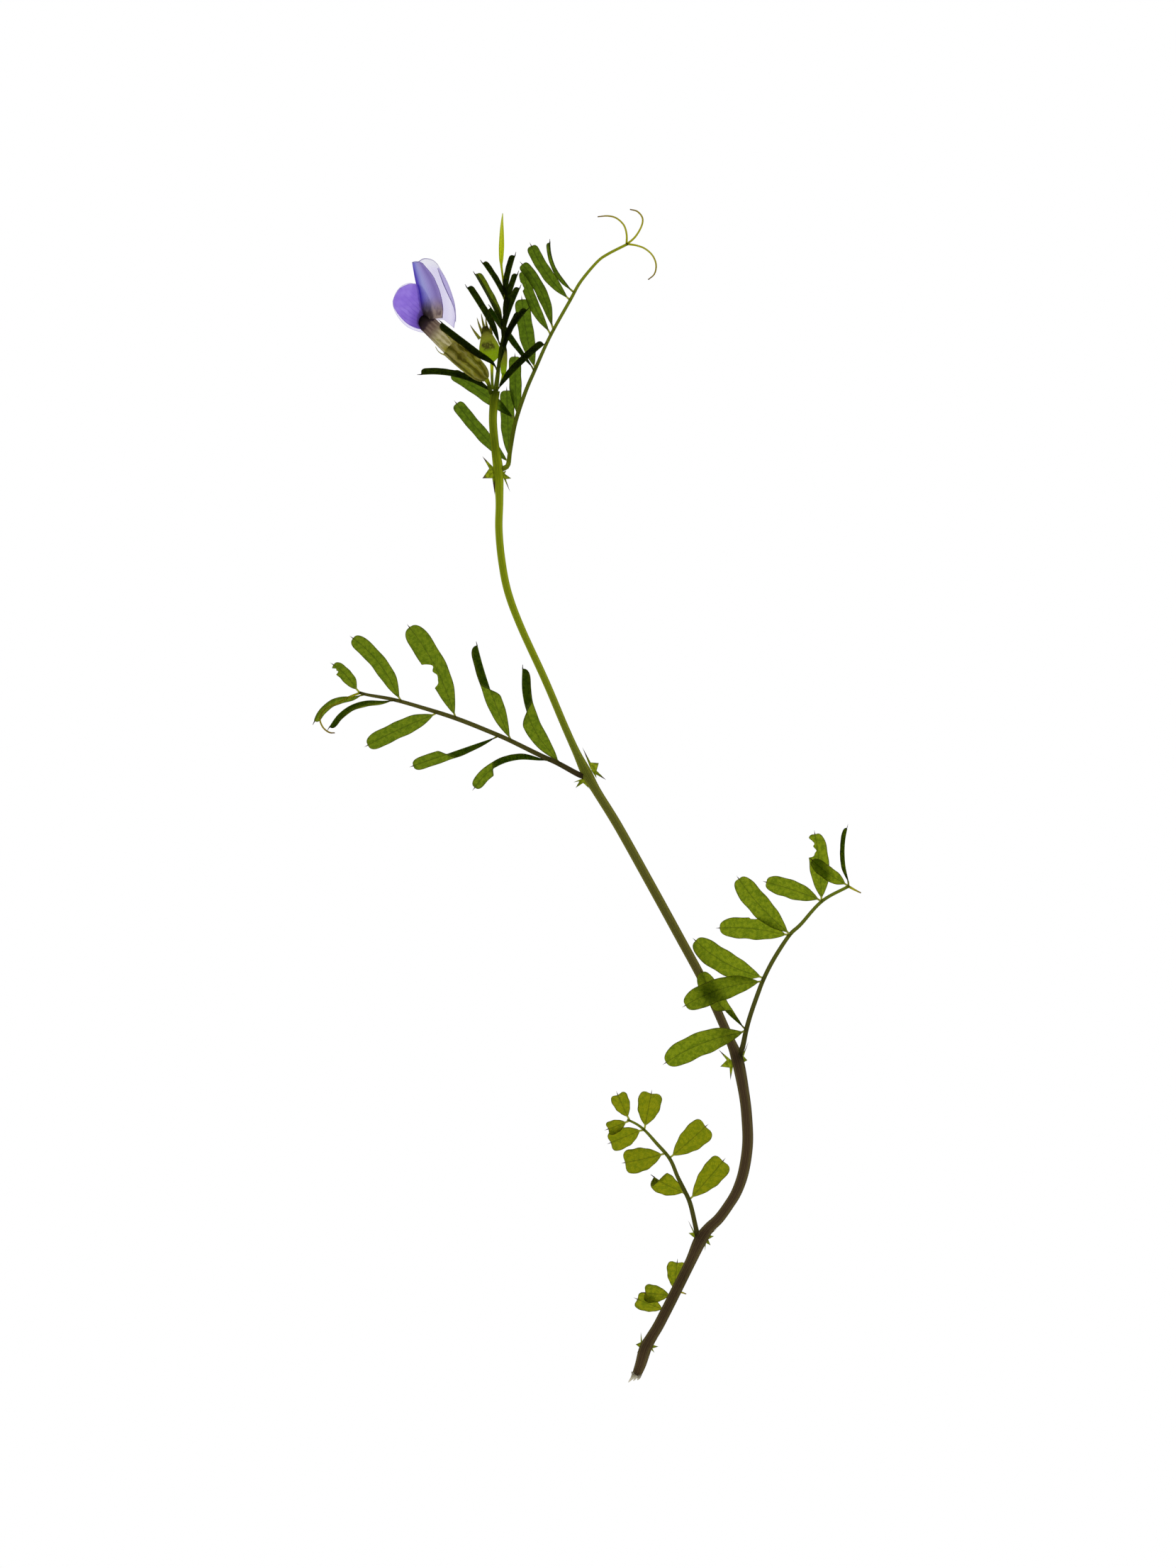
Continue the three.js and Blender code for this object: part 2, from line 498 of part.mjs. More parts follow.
const BUDS = {
  bud_1: {
    foot: [-16.6, 76.4, 1.6],
    heading: 100,
    profile: [[0, 0.4], [0.6, 1], [1.6, 1.6], [3, 1.85], [4.4, 1.6], [5.4, 1.1], [6, 0.6]],
    flatness: 0.7,
    teeth: [[-0.9, -18, 2.2], [-0.2, -6, 2.8], [0.3, 4, 2.4], [0.8, 10, 1.4]],
    pedicel: [[-16.7, 71.9, 1.5, 0.5], [-16.7, 74, 1.45, 0.5], [-16.6, 76.9, 1.6, 0.7]],
  },
  bud_2: {
    foot: [-14.7, 74, 1.35],
    heading: 88,
    profile: [[0, 0.25], [0.8, 0.45], [2.6, 0.55], [4.4, 0.45], [5.2, 0.25]],
    flatness: 0.9,
    teeth: [[0, -8, 2], [0, 6, 2.2]],
    pedicel: [[-15.1, 72.7, 1.4, 0.35], [-14.9, 73.4, 1.4, 0.35], [-14.7, 74.4, 1.35, 0.5]],
  },
};

// ---- Assembly -----------------------------------------------------------------------------------

const finish = (color, roughness) => new THREE.MeshStandardMaterial({ color, roughness, metalness: 0 });
const MATERIALS = {
  stem: finish('#6f7420', 0.55),
  stalk: finish('#8f9a2a', 0.55),
  leaf: finish('#5c7f14', 0.6),
  young: finish('#3f5216', 0.6),
  calyx: finish('#9aa531', 0.6),
  standard: finish('#c3b6e2', 0.5),
  wing: finish('#7d5cc0', 0.5),
  keel: finish('#4a3a78', 0.5),
};

const sprig = new THREE.Group();
sprig.name = 'vetch_sprig';

function add(name, geometry, material, parent = sprig) {
  const mesh = new THREE.Mesh(geometry, MATERIALS[material]);
  mesh.name = name;
  parent.add(mesh);
}

add('stem', join([stemBody(), ...STIPULES.map(stipule)]), 'stem');

// The foot of a leaflet that grows at a distance along a stalk's line, and how far it is from it.
// The more the leaflet leans along the stalk, the further out its foot is.
function footOn(curve, distance, heading, clearance, height) {
  const place = distance / curve.getLength();
  const point = curve.getPointAt(place);
  const forward = curve.getTangentAt(place);
  const way = new THREE.Vector3(Math.cos(heading * DEG), Math.sin(heading * DEG), 0);
  const neck = clearance / Math.max(way.cross(forward).length(), 0.6);
  const foot = new THREE.Vector3(
    point.x + neck * Math.cos(heading * DEG),
    point.y + neck * Math.sin(heading * DEG),
    height,
  );
  return { foot, neck };
}

for (const { name, fullest, stalk: rows, branches, leaflets } of LEAVES) {
  const leaf = new THREE.Group();
  leaf.name = name;
  sprig.add(leaf);
  const curve = line(rows);
  const tube = stalk(rows);
  const tendrils = branches.map((branch) => stalk(branch, 6, 3));
  add(`${name}_stalk`, tendrils.length ? join([tube, ...tendrils]) : tube, 'stalk', leaf);
  for (const [id, distance, heading, length, width, height, arch, tip, bow] of leaflets) {
    const { foot, neck } = footOn(curve, distance, heading, NECK, height);
    const blade = leaflet(foot, heading, length - neck, width, arch, tip, bow, fullest);
    add(`${name}_leaflet_${id}`, blade, 'leaf', leaf);
  }
}

const shootCurve = line(SHOOT.stalk);
const shootParts = SHOOT.leaflets.map(([, distance, heading, length, width, height, arch, tip, bow]) => {
  const { foot } = footOn(shootCurve, distance, heading, 0, height);
  return leaflet(foot, heading, length, width, arch, tip, bow, STRAP, FOLDED);
});
add('shoot_tip', join([stalk(SHOOT.stalk), ...shootParts]), 'young');
for (const [name, at, heading, length, width, height, arch, tip, bow] of SHOOT_LEAFLETS) {
  const foot = new THREE.Vector3(...at, height);
  add(name, leaflet(foot, heading, length, width, arch, tip, bow, STRAP, FOLDED), 'young');
}

const flower = new THREE.Group();
flower.name = 'flower';
sprig.add(flower);
add('calyx', calyxBody(), 'calyx', flower);
add('standard_petal', standardBody(), 'standard', flower);
add('wing_upper', wingBody(1), 'wing', flower);
add('wing_lower', wingBody(-1), 'wing', flower);
add('keel', keelBody(), 'keel', flower);
for (const [name, bud] of Object.entries(BUDS)) add(name, budBody(bud), 'calyx');

export default sprig;
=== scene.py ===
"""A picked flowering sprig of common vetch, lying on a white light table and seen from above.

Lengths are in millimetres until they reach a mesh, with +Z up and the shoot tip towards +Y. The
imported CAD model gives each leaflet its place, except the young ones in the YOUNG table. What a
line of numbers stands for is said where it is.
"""
import math
import bpy
import numpy as np
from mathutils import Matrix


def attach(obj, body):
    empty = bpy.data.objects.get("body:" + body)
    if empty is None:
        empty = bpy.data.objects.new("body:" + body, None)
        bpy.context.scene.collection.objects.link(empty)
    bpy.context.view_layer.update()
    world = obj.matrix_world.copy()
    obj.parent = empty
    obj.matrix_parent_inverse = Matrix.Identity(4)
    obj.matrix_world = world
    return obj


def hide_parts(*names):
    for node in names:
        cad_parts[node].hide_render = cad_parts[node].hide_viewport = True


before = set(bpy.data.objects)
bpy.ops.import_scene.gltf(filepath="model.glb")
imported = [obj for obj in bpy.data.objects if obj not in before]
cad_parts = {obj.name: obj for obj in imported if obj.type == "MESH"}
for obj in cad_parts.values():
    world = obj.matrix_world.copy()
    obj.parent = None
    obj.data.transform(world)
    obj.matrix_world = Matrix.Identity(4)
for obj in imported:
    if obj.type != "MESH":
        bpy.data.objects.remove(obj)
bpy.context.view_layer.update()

MM = 0.001


# ---- The setting ---------------------------------------------------------------------------------
# The sprig lies on an evenly lit white sheet, so most of its light comes from below and shines
# through the leaves and petals. A weak, soft light from above shows their surface.

def linear(colour):
    """The linear values, with alpha, of an sRGB colour written as "#5a7a10"."""
    parts = [int(colour[i:i + 2], 16) / 255 for i in (1, 3, 5)]
    return tuple(c / 12.92 if c <= 0.04045 else ((c + 0.055) / 1.055) ** 2.4 for c in parts) + (1.0,)


def new_material(name):
    """An empty material with its output node only."""
    material = bpy.data.materials.new(name)
    material.use_nodes = True
    material.node_tree.nodes.clear()
    material.node_tree.nodes.new("ShaderNodeOutputMaterial")
    return material


def add_node(material, kind, inputs, **settings):
    """Adds a shader node. Each input is given another node's socket, or a value."""
    node = material.node_tree.nodes.new(kind)
    for key, value in settings.items():
        setattr(node, key, value)
    for key, value in inputs.items():
        if isinstance(value, bpy.types.NodeSocket):
            material.node_tree.links.new(value, node.inputs[key])
        else:
            node.inputs[key].default_value = value
    return node


def finish_with(material, shader):
    """Joins a shader to the material's output."""
    output = material.node_tree.nodes["Material Output"]
    material.node_tree.links.new(shader, output.inputs["Surface"])
    return material


scene = bpy.context.scene
scene.view_settings.view_transform = "Standard"

VIEW_HEIGHT = 276.5  # what the picture shows from top to bottom
VIEW_CENTRE = (0.2, 2.1)  # the middle of the picture
LENS, SENSOR = 100, 36

camera_data = bpy.data.cameras.new("camera")
camera_data.lens = LENS
camera_data.sensor_width = SENSOR
camera_data.dof.use_dof = False
camera = bpy.data.objects.new("camera", camera_data)
camera.location = (VIEW_CENTRE[0] * MM, VIEW_CENTRE[1] * MM, VIEW_HEIGHT * LENS / SENSOR * MM)
scene.collection.objects.link(camera)
scene.camera = camera

TABLE_SIZE = 3.0  # metres
TABLE_DROP = 0.00003  # metres between the table's face and the lowest leaves
bpy.ops.mesh.primitive_plane_add(size=TABLE_SIZE, location=(0, 0, -TABLE_DROP))
table = bpy.context.object
table.name = "light_table"
table_white = new_material("lit opal table")
table_light = add_node(table_white, "ShaderNodeEmission", {"Color": (1, 1, 1, 1), "Strength": 1.0})
table.data.materials.append(finish_with(table_white, table_light.outputs["Emission"]))

LAMP_HEIGHT = 0.9
lamp_data = bpy.data.lights.new("soft_lamp", "AREA")
lamp_data.size = 0.7
lamp_data.energy = 1.0
lamp = bpy.data.objects.new("soft_lamp", lamp_data)
lamp.location = (-0.35, 0.35, LAMP_HEIGHT)
lamp.rotation_euler = (math.radians(-21), math.radians(-21), 0)
scene.collection.objects.link(lamp)

# The studio looks white to the camera, but lights the sprig only weakly.
DIM, WHITE = 0.07, 1.0
world = bpy.data.worlds.new("studio")
scene.world = world
world.use_nodes = True
sky = world.node_tree.nodes["Background"]
sky.inputs["Color"].default_value = (1, 1, 1, 1)
seen = world.node_tree.nodes.new("ShaderNodeLightPath")
strength = world.node_tree.nodes.new("ShaderNodeMapRange")
strength.inputs["To Min"].default_value = DIM
strength.inputs["To Max"].default_value = WHITE
world.node_tree.links.new(seen.outputs["Is Camera Ray"], strength.inputs["Value"])
world.node_tree.links.new(strength.outputs["Result"], sky.inputs["Strength"])


# ---- The stem ------------------------------------------------------------------------------------
# A weak, four-angled stem, ribbed along its length. It is bright green near the shoot tip and turns
# olive and then purple-brown towards the cut end, with a low swelling where each leaf grows.

def route(rows, spacing=0.5):
    """The smooth Catmull-Rom line through rows of numbers, resampled evenly along its length."""
    rows = np.array(rows, float)
    padded = np.vstack([2 * rows[0] - rows[1], rows, 2 * rows[-1] - rows[-2]])
    a, b, c, d = (padded[i:len(padded) - 3 + i, None, :] for i in range(4))
    t = np.linspace(0, 1, 16, endpoint=False)[None, :, None]
    curve = b + 0.5 * t * (c - a + t * (2 * a - 5 * b + 4 * c - d + t * (3 * (b - c) + d - a)))
    fine = np.vstack([curve.reshape(-1, rows.shape[1]), rows[-1]])
    length = np.concatenate([[0], np.cumsum(np.linalg.norm(np.diff(fine[:, :3], axis=0), axis=1))])
    places = np.linspace(0, length[-1], max(int(length[-1] / spacing), 4) + 1)
    return np.stack([np.interp(places, length, column) for column in fine.T], axis=1)


def unit(vectors):
    """The vectors scaled to a length of 1."""
    return vectors / np.maximum(np.linalg.norm(vectors, axis=-1, keepdims=True), 1e-9)


def frame_along(path):
    """The level sideways direction and the upward direction at each point of a path."""
    forward = unit(np.gradient(path[:, :3], axis=0))
    side = unit(np.cross(forward, [0, 0, 1.0]))
    return side, np.cross(side, forward)


def around(path, radius, angles):
    """Rings about a path. The radius is a number for each ring, or for each ring and angle."""
    side, up = frame_along(path)
    radius = np.broadcast_to(np.asarray(radius, float).reshape(len(path), -1), (len(path), len(angles)))
    across = (radius * np.cos(angles))[..., None] * side[:, None]
    return path[:, None, :3] + across + (radius * np.sin(angles))[..., None] * up[:, None]


def skin(name, rings, material, slot, replaced=(), **marks):
    """A closed mesh through rings, an array of rings, corners and x, y, z in mm, of the root body.

    Each ring has an even number of corners. The first and last are zipped shut, corner j to the
    corner as far from the other end. Marks are numbers at each corner, for the material to read."""
    rows, cols, _ = rings.shape
    grid = np.arange(rows * cols).reshape(rows, cols)
    turned = np.roll(grid, -1, axis=1)
    sides = np.stack([grid[:-1], turned[:-1], turned[1:], grid[1:]], axis=-1).reshape(-1, 4)
    j = np.arange(cols // 2 - 1)
    start = np.stack([j, cols - 1 - j, cols - 2 - j, j + 1], axis=-1)
    end = start[:, ::-1] + (rows - 1) * cols
    faces = np.vstack([sides, start, end])
    corners = rings.reshape(-1, 3) * MM
    a, b, c, d = (corners[faces[:, i]] for i in range(4))
    volume = np.sum(a * np.cross(b, c)) + np.sum(a * np.cross(c, d))
    if volume < 0:
        faces = faces[:, ::-1]
    mesh = bpy.data.meshes.new(name)
    mesh.from_pydata(corners.tolist(), [], faces.tolist())
    mesh.polygons.foreach_set("use_smooth", np.ones(len(faces), bool))
    for label, values in marks.items():
        filled = np.broadcast_to(np.asarray(values, np.float32), (rows, cols))
        mesh.attributes.new(label, "FLOAT", "POINT").data.foreach_set("value", filled.ravel())
    mesh.materials.append(material)
    mesh.update()
    piece = bpy.data.objects.new(name, mesh)
    scene.collection.objects.link(piece)
    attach(piece, "root")
    if replaced:
        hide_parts(*replaced)
    return piece


def mark(material, name):
    """The number that the mesh carries under this name."""
    return add_node(material, "ShaderNodeAttribute", {}, attribute_name=name).outputs["Fac"]


def grain(material, size, stretch=(1, 1, 1), detail=3.0):
    """Noise, from 0 to 1, whose lumps are about this size in mm. Stretch divides it along each axis."""
    place = add_node(material, "ShaderNodeTexCoord", {}).outputs["Object"]
    scaled = add_node(material, "ShaderNodeMapping", {"Vector": place, "Scale": [1 / s for s in stretch]})
    inputs = {"Vector": scaled.outputs["Vector"], "Scale": 1000 / size, "Detail": detail}
    return add_node(material, "ShaderNodeTexNoise", inputs).outputs["Fac"]


def ease(material, value, low, high):
    """0 where the value is low, 1 where it is high, and smooth between."""
    inputs = {"Value": value, "From Min": low, "From Max": high}
    node = add_node(material, "ShaderNodeMapRange", inputs, interpolation_type="SMOOTHSTEP")
    return node.outputs["Result"]


def sums(material, operation, first, second=0.0):
    """The two values put through a math operation."""
    return add_node(material, "ShaderNodeMath", {0: first, 1: second}, operation=operation).outputs[0]


def blend(material, factor, first, second):
    """The first colour where the factor is 0 and the second where it is 1."""
    first, second = (linear(c) if isinstance(c, str) else c for c in (first, second))
    node = add_node(material, "ShaderNodeMix", {0: factor, 6: first, 7: second}, data_type="RGBA")
    return node.outputs[2]


def ramp(material, value, stops):
    """A colour for a value from 0 to 1, through (place, colour) stops."""
    node = add_node(material, "ShaderNodeValToRGB", {"Fac": value})
    elements = node.color_ramp.elements
    for element in list(elements)[1:]:
        elements.remove(element)
    elements[0].position, elements[0].color = stops[0][0], linear(stops[0][1])
    for place, colour in stops[1:]:
        elements.new(place).color = linear(colour)
    return node.outputs["Color"]


def one_skin(material, colour, share):
    """What one of two skins has to pass for the pair to pass this colour at this share."""
    root = add_node(material, "ShaderNodeGamma", {"Color": colour, "Gamma": 0.5}).outputs["Color"]
    scaled = add_node(material, "ShaderNodeVectorMath", {0: root, 3: 1 / share}, operation="SCALE")
    return scaled.outputs["Vector"]


def living(material, colour, share=0.88, roughness=0.5, relief=None, depth=0.03):
    """Ends a material of thin plant tissue, whose colour is how it looks with light behind it.

    The light crosses a near and a far skin, so each skin passes the square root of the colour, and
    the share is how much of the light goes through. The rest is reflected off a dull surface."""
    through = one_skin(material, colour, share)
    inputs = {"Base Color": colour, "Roughness": roughness, "Specular IOR Level": 0.3}
    behind = {"Color": through}
    if relief is not None:
        bump = {"Height": relief, "Distance": depth * MM, "Strength": 0.6}
        inputs["Normal"] = add_node(material, "ShaderNodeBump", bump).outputs["Normal"]
    surface = add_node(material, "ShaderNodeBsdfPrincipled", inputs)
    glow = add_node(material, "ShaderNodeBsdfTranslucent", behind)
    mixed = {0: share, 1: surface.outputs[0], 2: glow.outputs[0]}
    return finish_with(material, add_node(material, "ShaderNodeMixShader", mixed).outputs[0])


# The stem's line from the cut end: x, y, height of its underside and width.
STEM = [
    (8.8, -101.9, 0, 1.5), (9.5, -100, 0.05, 1.8), (10.3, -97.2, 0.6, 2), (11.3, -95.3, 0.95, 1.8),
    (12.5, -93.3, 1.2, 1.75), (14.1, -90.2, 1.3, 1.75), (15.5, -87.4, 1.3, 1.75), (18.2, -82, 1, 1.75),
    (19.9, -78.3, 0.5, 2.1), (21.4, -76.2, 0.15, 1.8), (23.2, -74.5, 0, 1.7), (24.9, -72.2, 0, 1.65),
    (26.4, -69.7, 0, 1.7), (27.6, -66.2, 0, 1.75), (28.3, -61.5, 0, 1.75), (28.2, -57, 0, 1.75),
    (27.7, -52.5, 0, 1.75), (26.5, -46.4, 0, 1.95), (25, -42.5, 0, 1.5), (20.9, -33.4, 0, 1.45),
    (15.9, -24.1, 0, 1.45), (10.8, -14.8, 0, 1.45), (5.5, -5.3, 0, 1.45), (1.8, 0.7, 0, 1.45),
    (0, 3.9, 0, 1.75), (-1.9, 7.8, 0, 1.25), (-4, 12.5, 0, 1.15), (-7.3, 20.3, 0, 1.15),
    (-11.6, 29.7, 0, 1.15), (-13.9, 35.9, 0, 1.2), (-15, 41.5, 0, 1.2), (-15.5, 47, 0, 1.2),
    (-15.4, 52, 0.3, 1.25), (-15.6, 57.4, 0.9, 1.6), (-16.1, 61.1, 1.3, 1.35), (-16.5, 65.5, 1.55, 1.3),
    (-16.4, 68.5, 1.65, 1.35), (-16.1, 71.2, 1.7, 1.5),
]
RIBS = 4  # angles of the stem
FINE_RIBS = 16

stem_skin = new_material("vetch stem")
along_stem = mark(stem_skin, "along")
turn = mark(stem_skin, "turn")
stem_green = ramp(stem_skin, along_stem, [
    (0.0, "#57452f"), (0.3, "#503f2c"), (0.37, "#54482c"), (0.42, "#64602a"), (0.6, "#6a6b2a"),
    (0.66, "#6f7a22"), (0.76, "#8c9a18"), (0.92, "#94a30f"), (1.0, "#7f8c16"),
])
stem_dark = ramp(stem_skin, along_stem, [
    (0.0, "#3c2c22"), (0.35, "#38291f"), (0.45, "#45401e"), (0.6, "#4a4c1c"), (0.72, "#5c6a12"), (1.0,
                                                                                                  "#5b6a10"),
])
stem_pale = ramp(stem_skin, along_stem, [
    (0.0, "#7c7440"), (0.35, "#7a743e"), (0.45, "#8a8434"), (0.6, "#98963a"), (0.72, "#b2bb26"),
    (1.0, "#bcc824"),
])
rib_wave = sums(stem_skin, "SINE", sums(stem_skin, "MULTIPLY", turn, FINE_RIBS * 2 * math.pi))
fibres = grain(stem_skin, 0.35)
streak = sums(stem_skin, "ADD", rib_wave, sums(stem_skin, "MULTIPLY", fibres, 1.1))
stem_colour = blend(stem_skin, ease(stem_skin, streak, -0.3, 1.3), stem_dark, stem_green)
sideways = sums(stem_skin, "COSINE", sums(stem_skin, "MULTIPLY", turn, 2 * math.pi))
right_band = sums(stem_skin, "MULTIPLY", ease(stem_skin, sideways, 0.4, 0.62),
                  ease(stem_skin, sideways, 0.99, 0.9))
left_band = sums(stem_skin, "MULTIPLY", ease(stem_skin, sideways, -0.72, -0.84), 0.7)
bands = sums(stem_skin, "MULTIPLY", sums(stem_skin, "MAXIMUM", right_band, left_band), 0.55)
stem_colour = blend(stem_skin, bands, stem_colour, stem_pale)
living(stem_skin, stem_colour, relief=rib_wave, depth=0.05)

stem_path = route(STEM)
stem_path[:, 2] += stem_path[:, 3] / 2
turns = np.linspace(0, 1, 64, endpoint=False)
ridged = 1 + 0.07 * np.cos(RIBS * 2 * math.pi * turns) + 0.03 * np.cos(FINE_RIBS * 2 * math.pi * turns)
stem_rings = around(stem_path, stem_path[:, 3:4] / 2 * ridged, 2 * math.pi * turns)
stem_rings[..., 2] = np.maximum(stem_rings[..., 2], 0)
stem_progress = np.linspace(0, 1, len(stem_path))[:, None]
skin("stem_skin", stem_rings, stem_skin, "stem", ["stem"], along=stem_progress, turn=turns[None])

# Pale strands torn out of the cut end, each from a point inside the stem to its loose tip.
STRANDS = [((8.5, -101.6, 0.7), (7.3, -103.4, 0.15)), ((8.9, -101.7, 0.5), (8.2, -103.1, 0.3)),
           ((9.2, -101.9, 1.2), (8.9, -102.9, 0.9)), ((8.3, -101.5, 1), (7.8, -102.5, 0.8))]
STRAND_RADII = (0.42, 0.04)
pith = new_material("torn stem strands")
living(pith, blend(pith, grain(pith, 0.3), "#e6e4d2", "#a89c7c"), relief=grain(pith, 0.1))
CORE = np.linspace(0, 2 * math.pi, 8, endpoint=False)
for number, (inner, outer) in enumerate(STRANDS):
    strand = route([inner, np.add(inner, outer) / 2 + (0.1, 0, 0.1), outer], 0.1)
    taper = np.linspace(*STRAND_RADII, len(strand))[:, None] * (1 + 0.2 * np.cos(2 * CORE))
    skin(f"torn_strand_{number}", around(strand, taper, CORE), pith, "stem")


# ---- The leaflets --------------------------------------------------------------------------------
# Thin oblong blades in pairs along each leaf's stalk, on pale stalks of their own. Each has a dark
# midrib, a dark thin margin and a bristle at its tip, and some are folded, twisted or nibbled.

BLADE = 0.13  # thickness
LEAFLET_STALK = 0.8  # length of a leaflet's own stalk inside its foot
BRISTLE = 0.75  # length
STEP = 0.18  # between the rings along a leaflet
COLUMNS = 17  # points across a leaflet
PALE = "#b3b84e"  # its stalk
BROWN = "#4a3527"  # its bristle
RUFFLE = 0.06  # how far a margin waves up and down


def leaf_tissue(name, bright, dark, speck, vein):
    """A leaf's material: mottled, with a dark midrib, veins and margin and a pale foot."""
    material = new_material(name)
    across, edge, along = (mark(material, m) for m in ("across", "edge", "along"))
    mottle = ease(material, grain(material, 0.55, detail=5.0), 0.4, 0.6)
    colour = blend(material, mottle, dark, bright)
    specks = ease(material, grain(material, 0.2, detail=2.0), 0.52, 0.72)
    colour = blend(material, sums(material, "MULTIPLY", specks, 0.5), colour, speck)
    slope = sums(material, "SUBTRACT", along,
                 sums(material, "MULTIPLY", sums(material, "ABSOLUTE", across), 1.7))
    wander = sums(material, "MULTIPLY", grain(material, 0.8), 0.7)
    wave = sums(material, "SINE", sums(material, "MULTIPLY", sums(material, "ADD", slope, wander), 9.0))
    veins = ease(material, wave, 0.72, 1.0)
    colour = blend(material, sums(material, "MULTIPLY", veins, 0.35), colour, vein)
    middle = ease(material, sums(material, "ABSOLUTE", across), 0.11, 0.03)
    colour = blend(material, sums(material, "MULTIPLY", middle, 0.7), colour, vein)
    margin = ease(material, edge, 0.15, 0.03)
    colour = blend(material, sums(material, "MULTIPLY", margin, 0.8), colour, "#3b3512")
    colour = blend(material, mark(material, "foot"), colour, PALE)
    colour = blend(material, mark(material, "bristle"), colour, BROWN)
    return living(material, colour, relief=sums(material, "ADD", wave, specks), depth=0.02)


# Each leaf's colours: its bright and dark mottles, its specks and its veins.
LEAF_GREENS = {
    "leaf_1": leaf_tissue("lower vetch leaf", "#868a12", "#62700c", "#a0a42c", "#3c420c"),
    "leaf_2": leaf_tissue("olive vetch leaf", "#84880e", "#6a770b", "#a3a62a", "#40460c"),
    "leaf_3": leaf_tissue("middle vetch leaf", "#7b8a14", "#5c700c", "#a0ac3c", "#38440c"),
    "leaf_4": leaf_tissue("green vetch leaf", "#6c7e16", "#52680e", "#8c9c30", "#323e0e"),
    "leaf_5": leaf_tissue("dark vetch leaf", "#587014", "#43590e", "#6f8420", "#27340c"),
}


def solid_points(node):
    """The corners of a CAD node in mm."""
    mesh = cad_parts[node].data
    points = np.empty(len(mesh.vertices) * 3)
    mesh.vertices.foreach_get("co", points)
    return points.reshape(-1, 3) / MM


def middle_line(node, stalk):
    """The line through the middle of a leaflet's CAD solid, starting at the end near its stalk."""
    points = solid_points(node)
    centre = points.mean(axis=0)
    axis = np.linalg.svd(points - centre, full_matrices=False)[2][0]
    order = (points - centre) @ axis
    ends = [points[order < order.min() + 0.05].mean(axis=0), points[order > order.max() - 0.05].mean(axis=0)]
    gaps = [np.linalg.norm(stalk[:, :3] - end, axis=1).min() for end in ends]
    if gaps[1] < gaps[0]:
        ends.reverse()
    way = unit(ends[1] - ends[0])
    place = (points - ends[0]) @ way / np.linalg.norm(ends[1] - ends[0])
    bend = np.polyfit(place, points, 2)
    middles = [bend[0] * t ** 2 + bend[1] * t + bend[2] for t in (0.25, 0.5, 0.75)]
    return np.array([ends[0], *middles, ends[1]])


def both_faces(values):
    """Numbers across a sheet's upper face, and the same numbers back across its lower face."""
    return np.concatenate([values, values[:, ::-1]], axis=1)


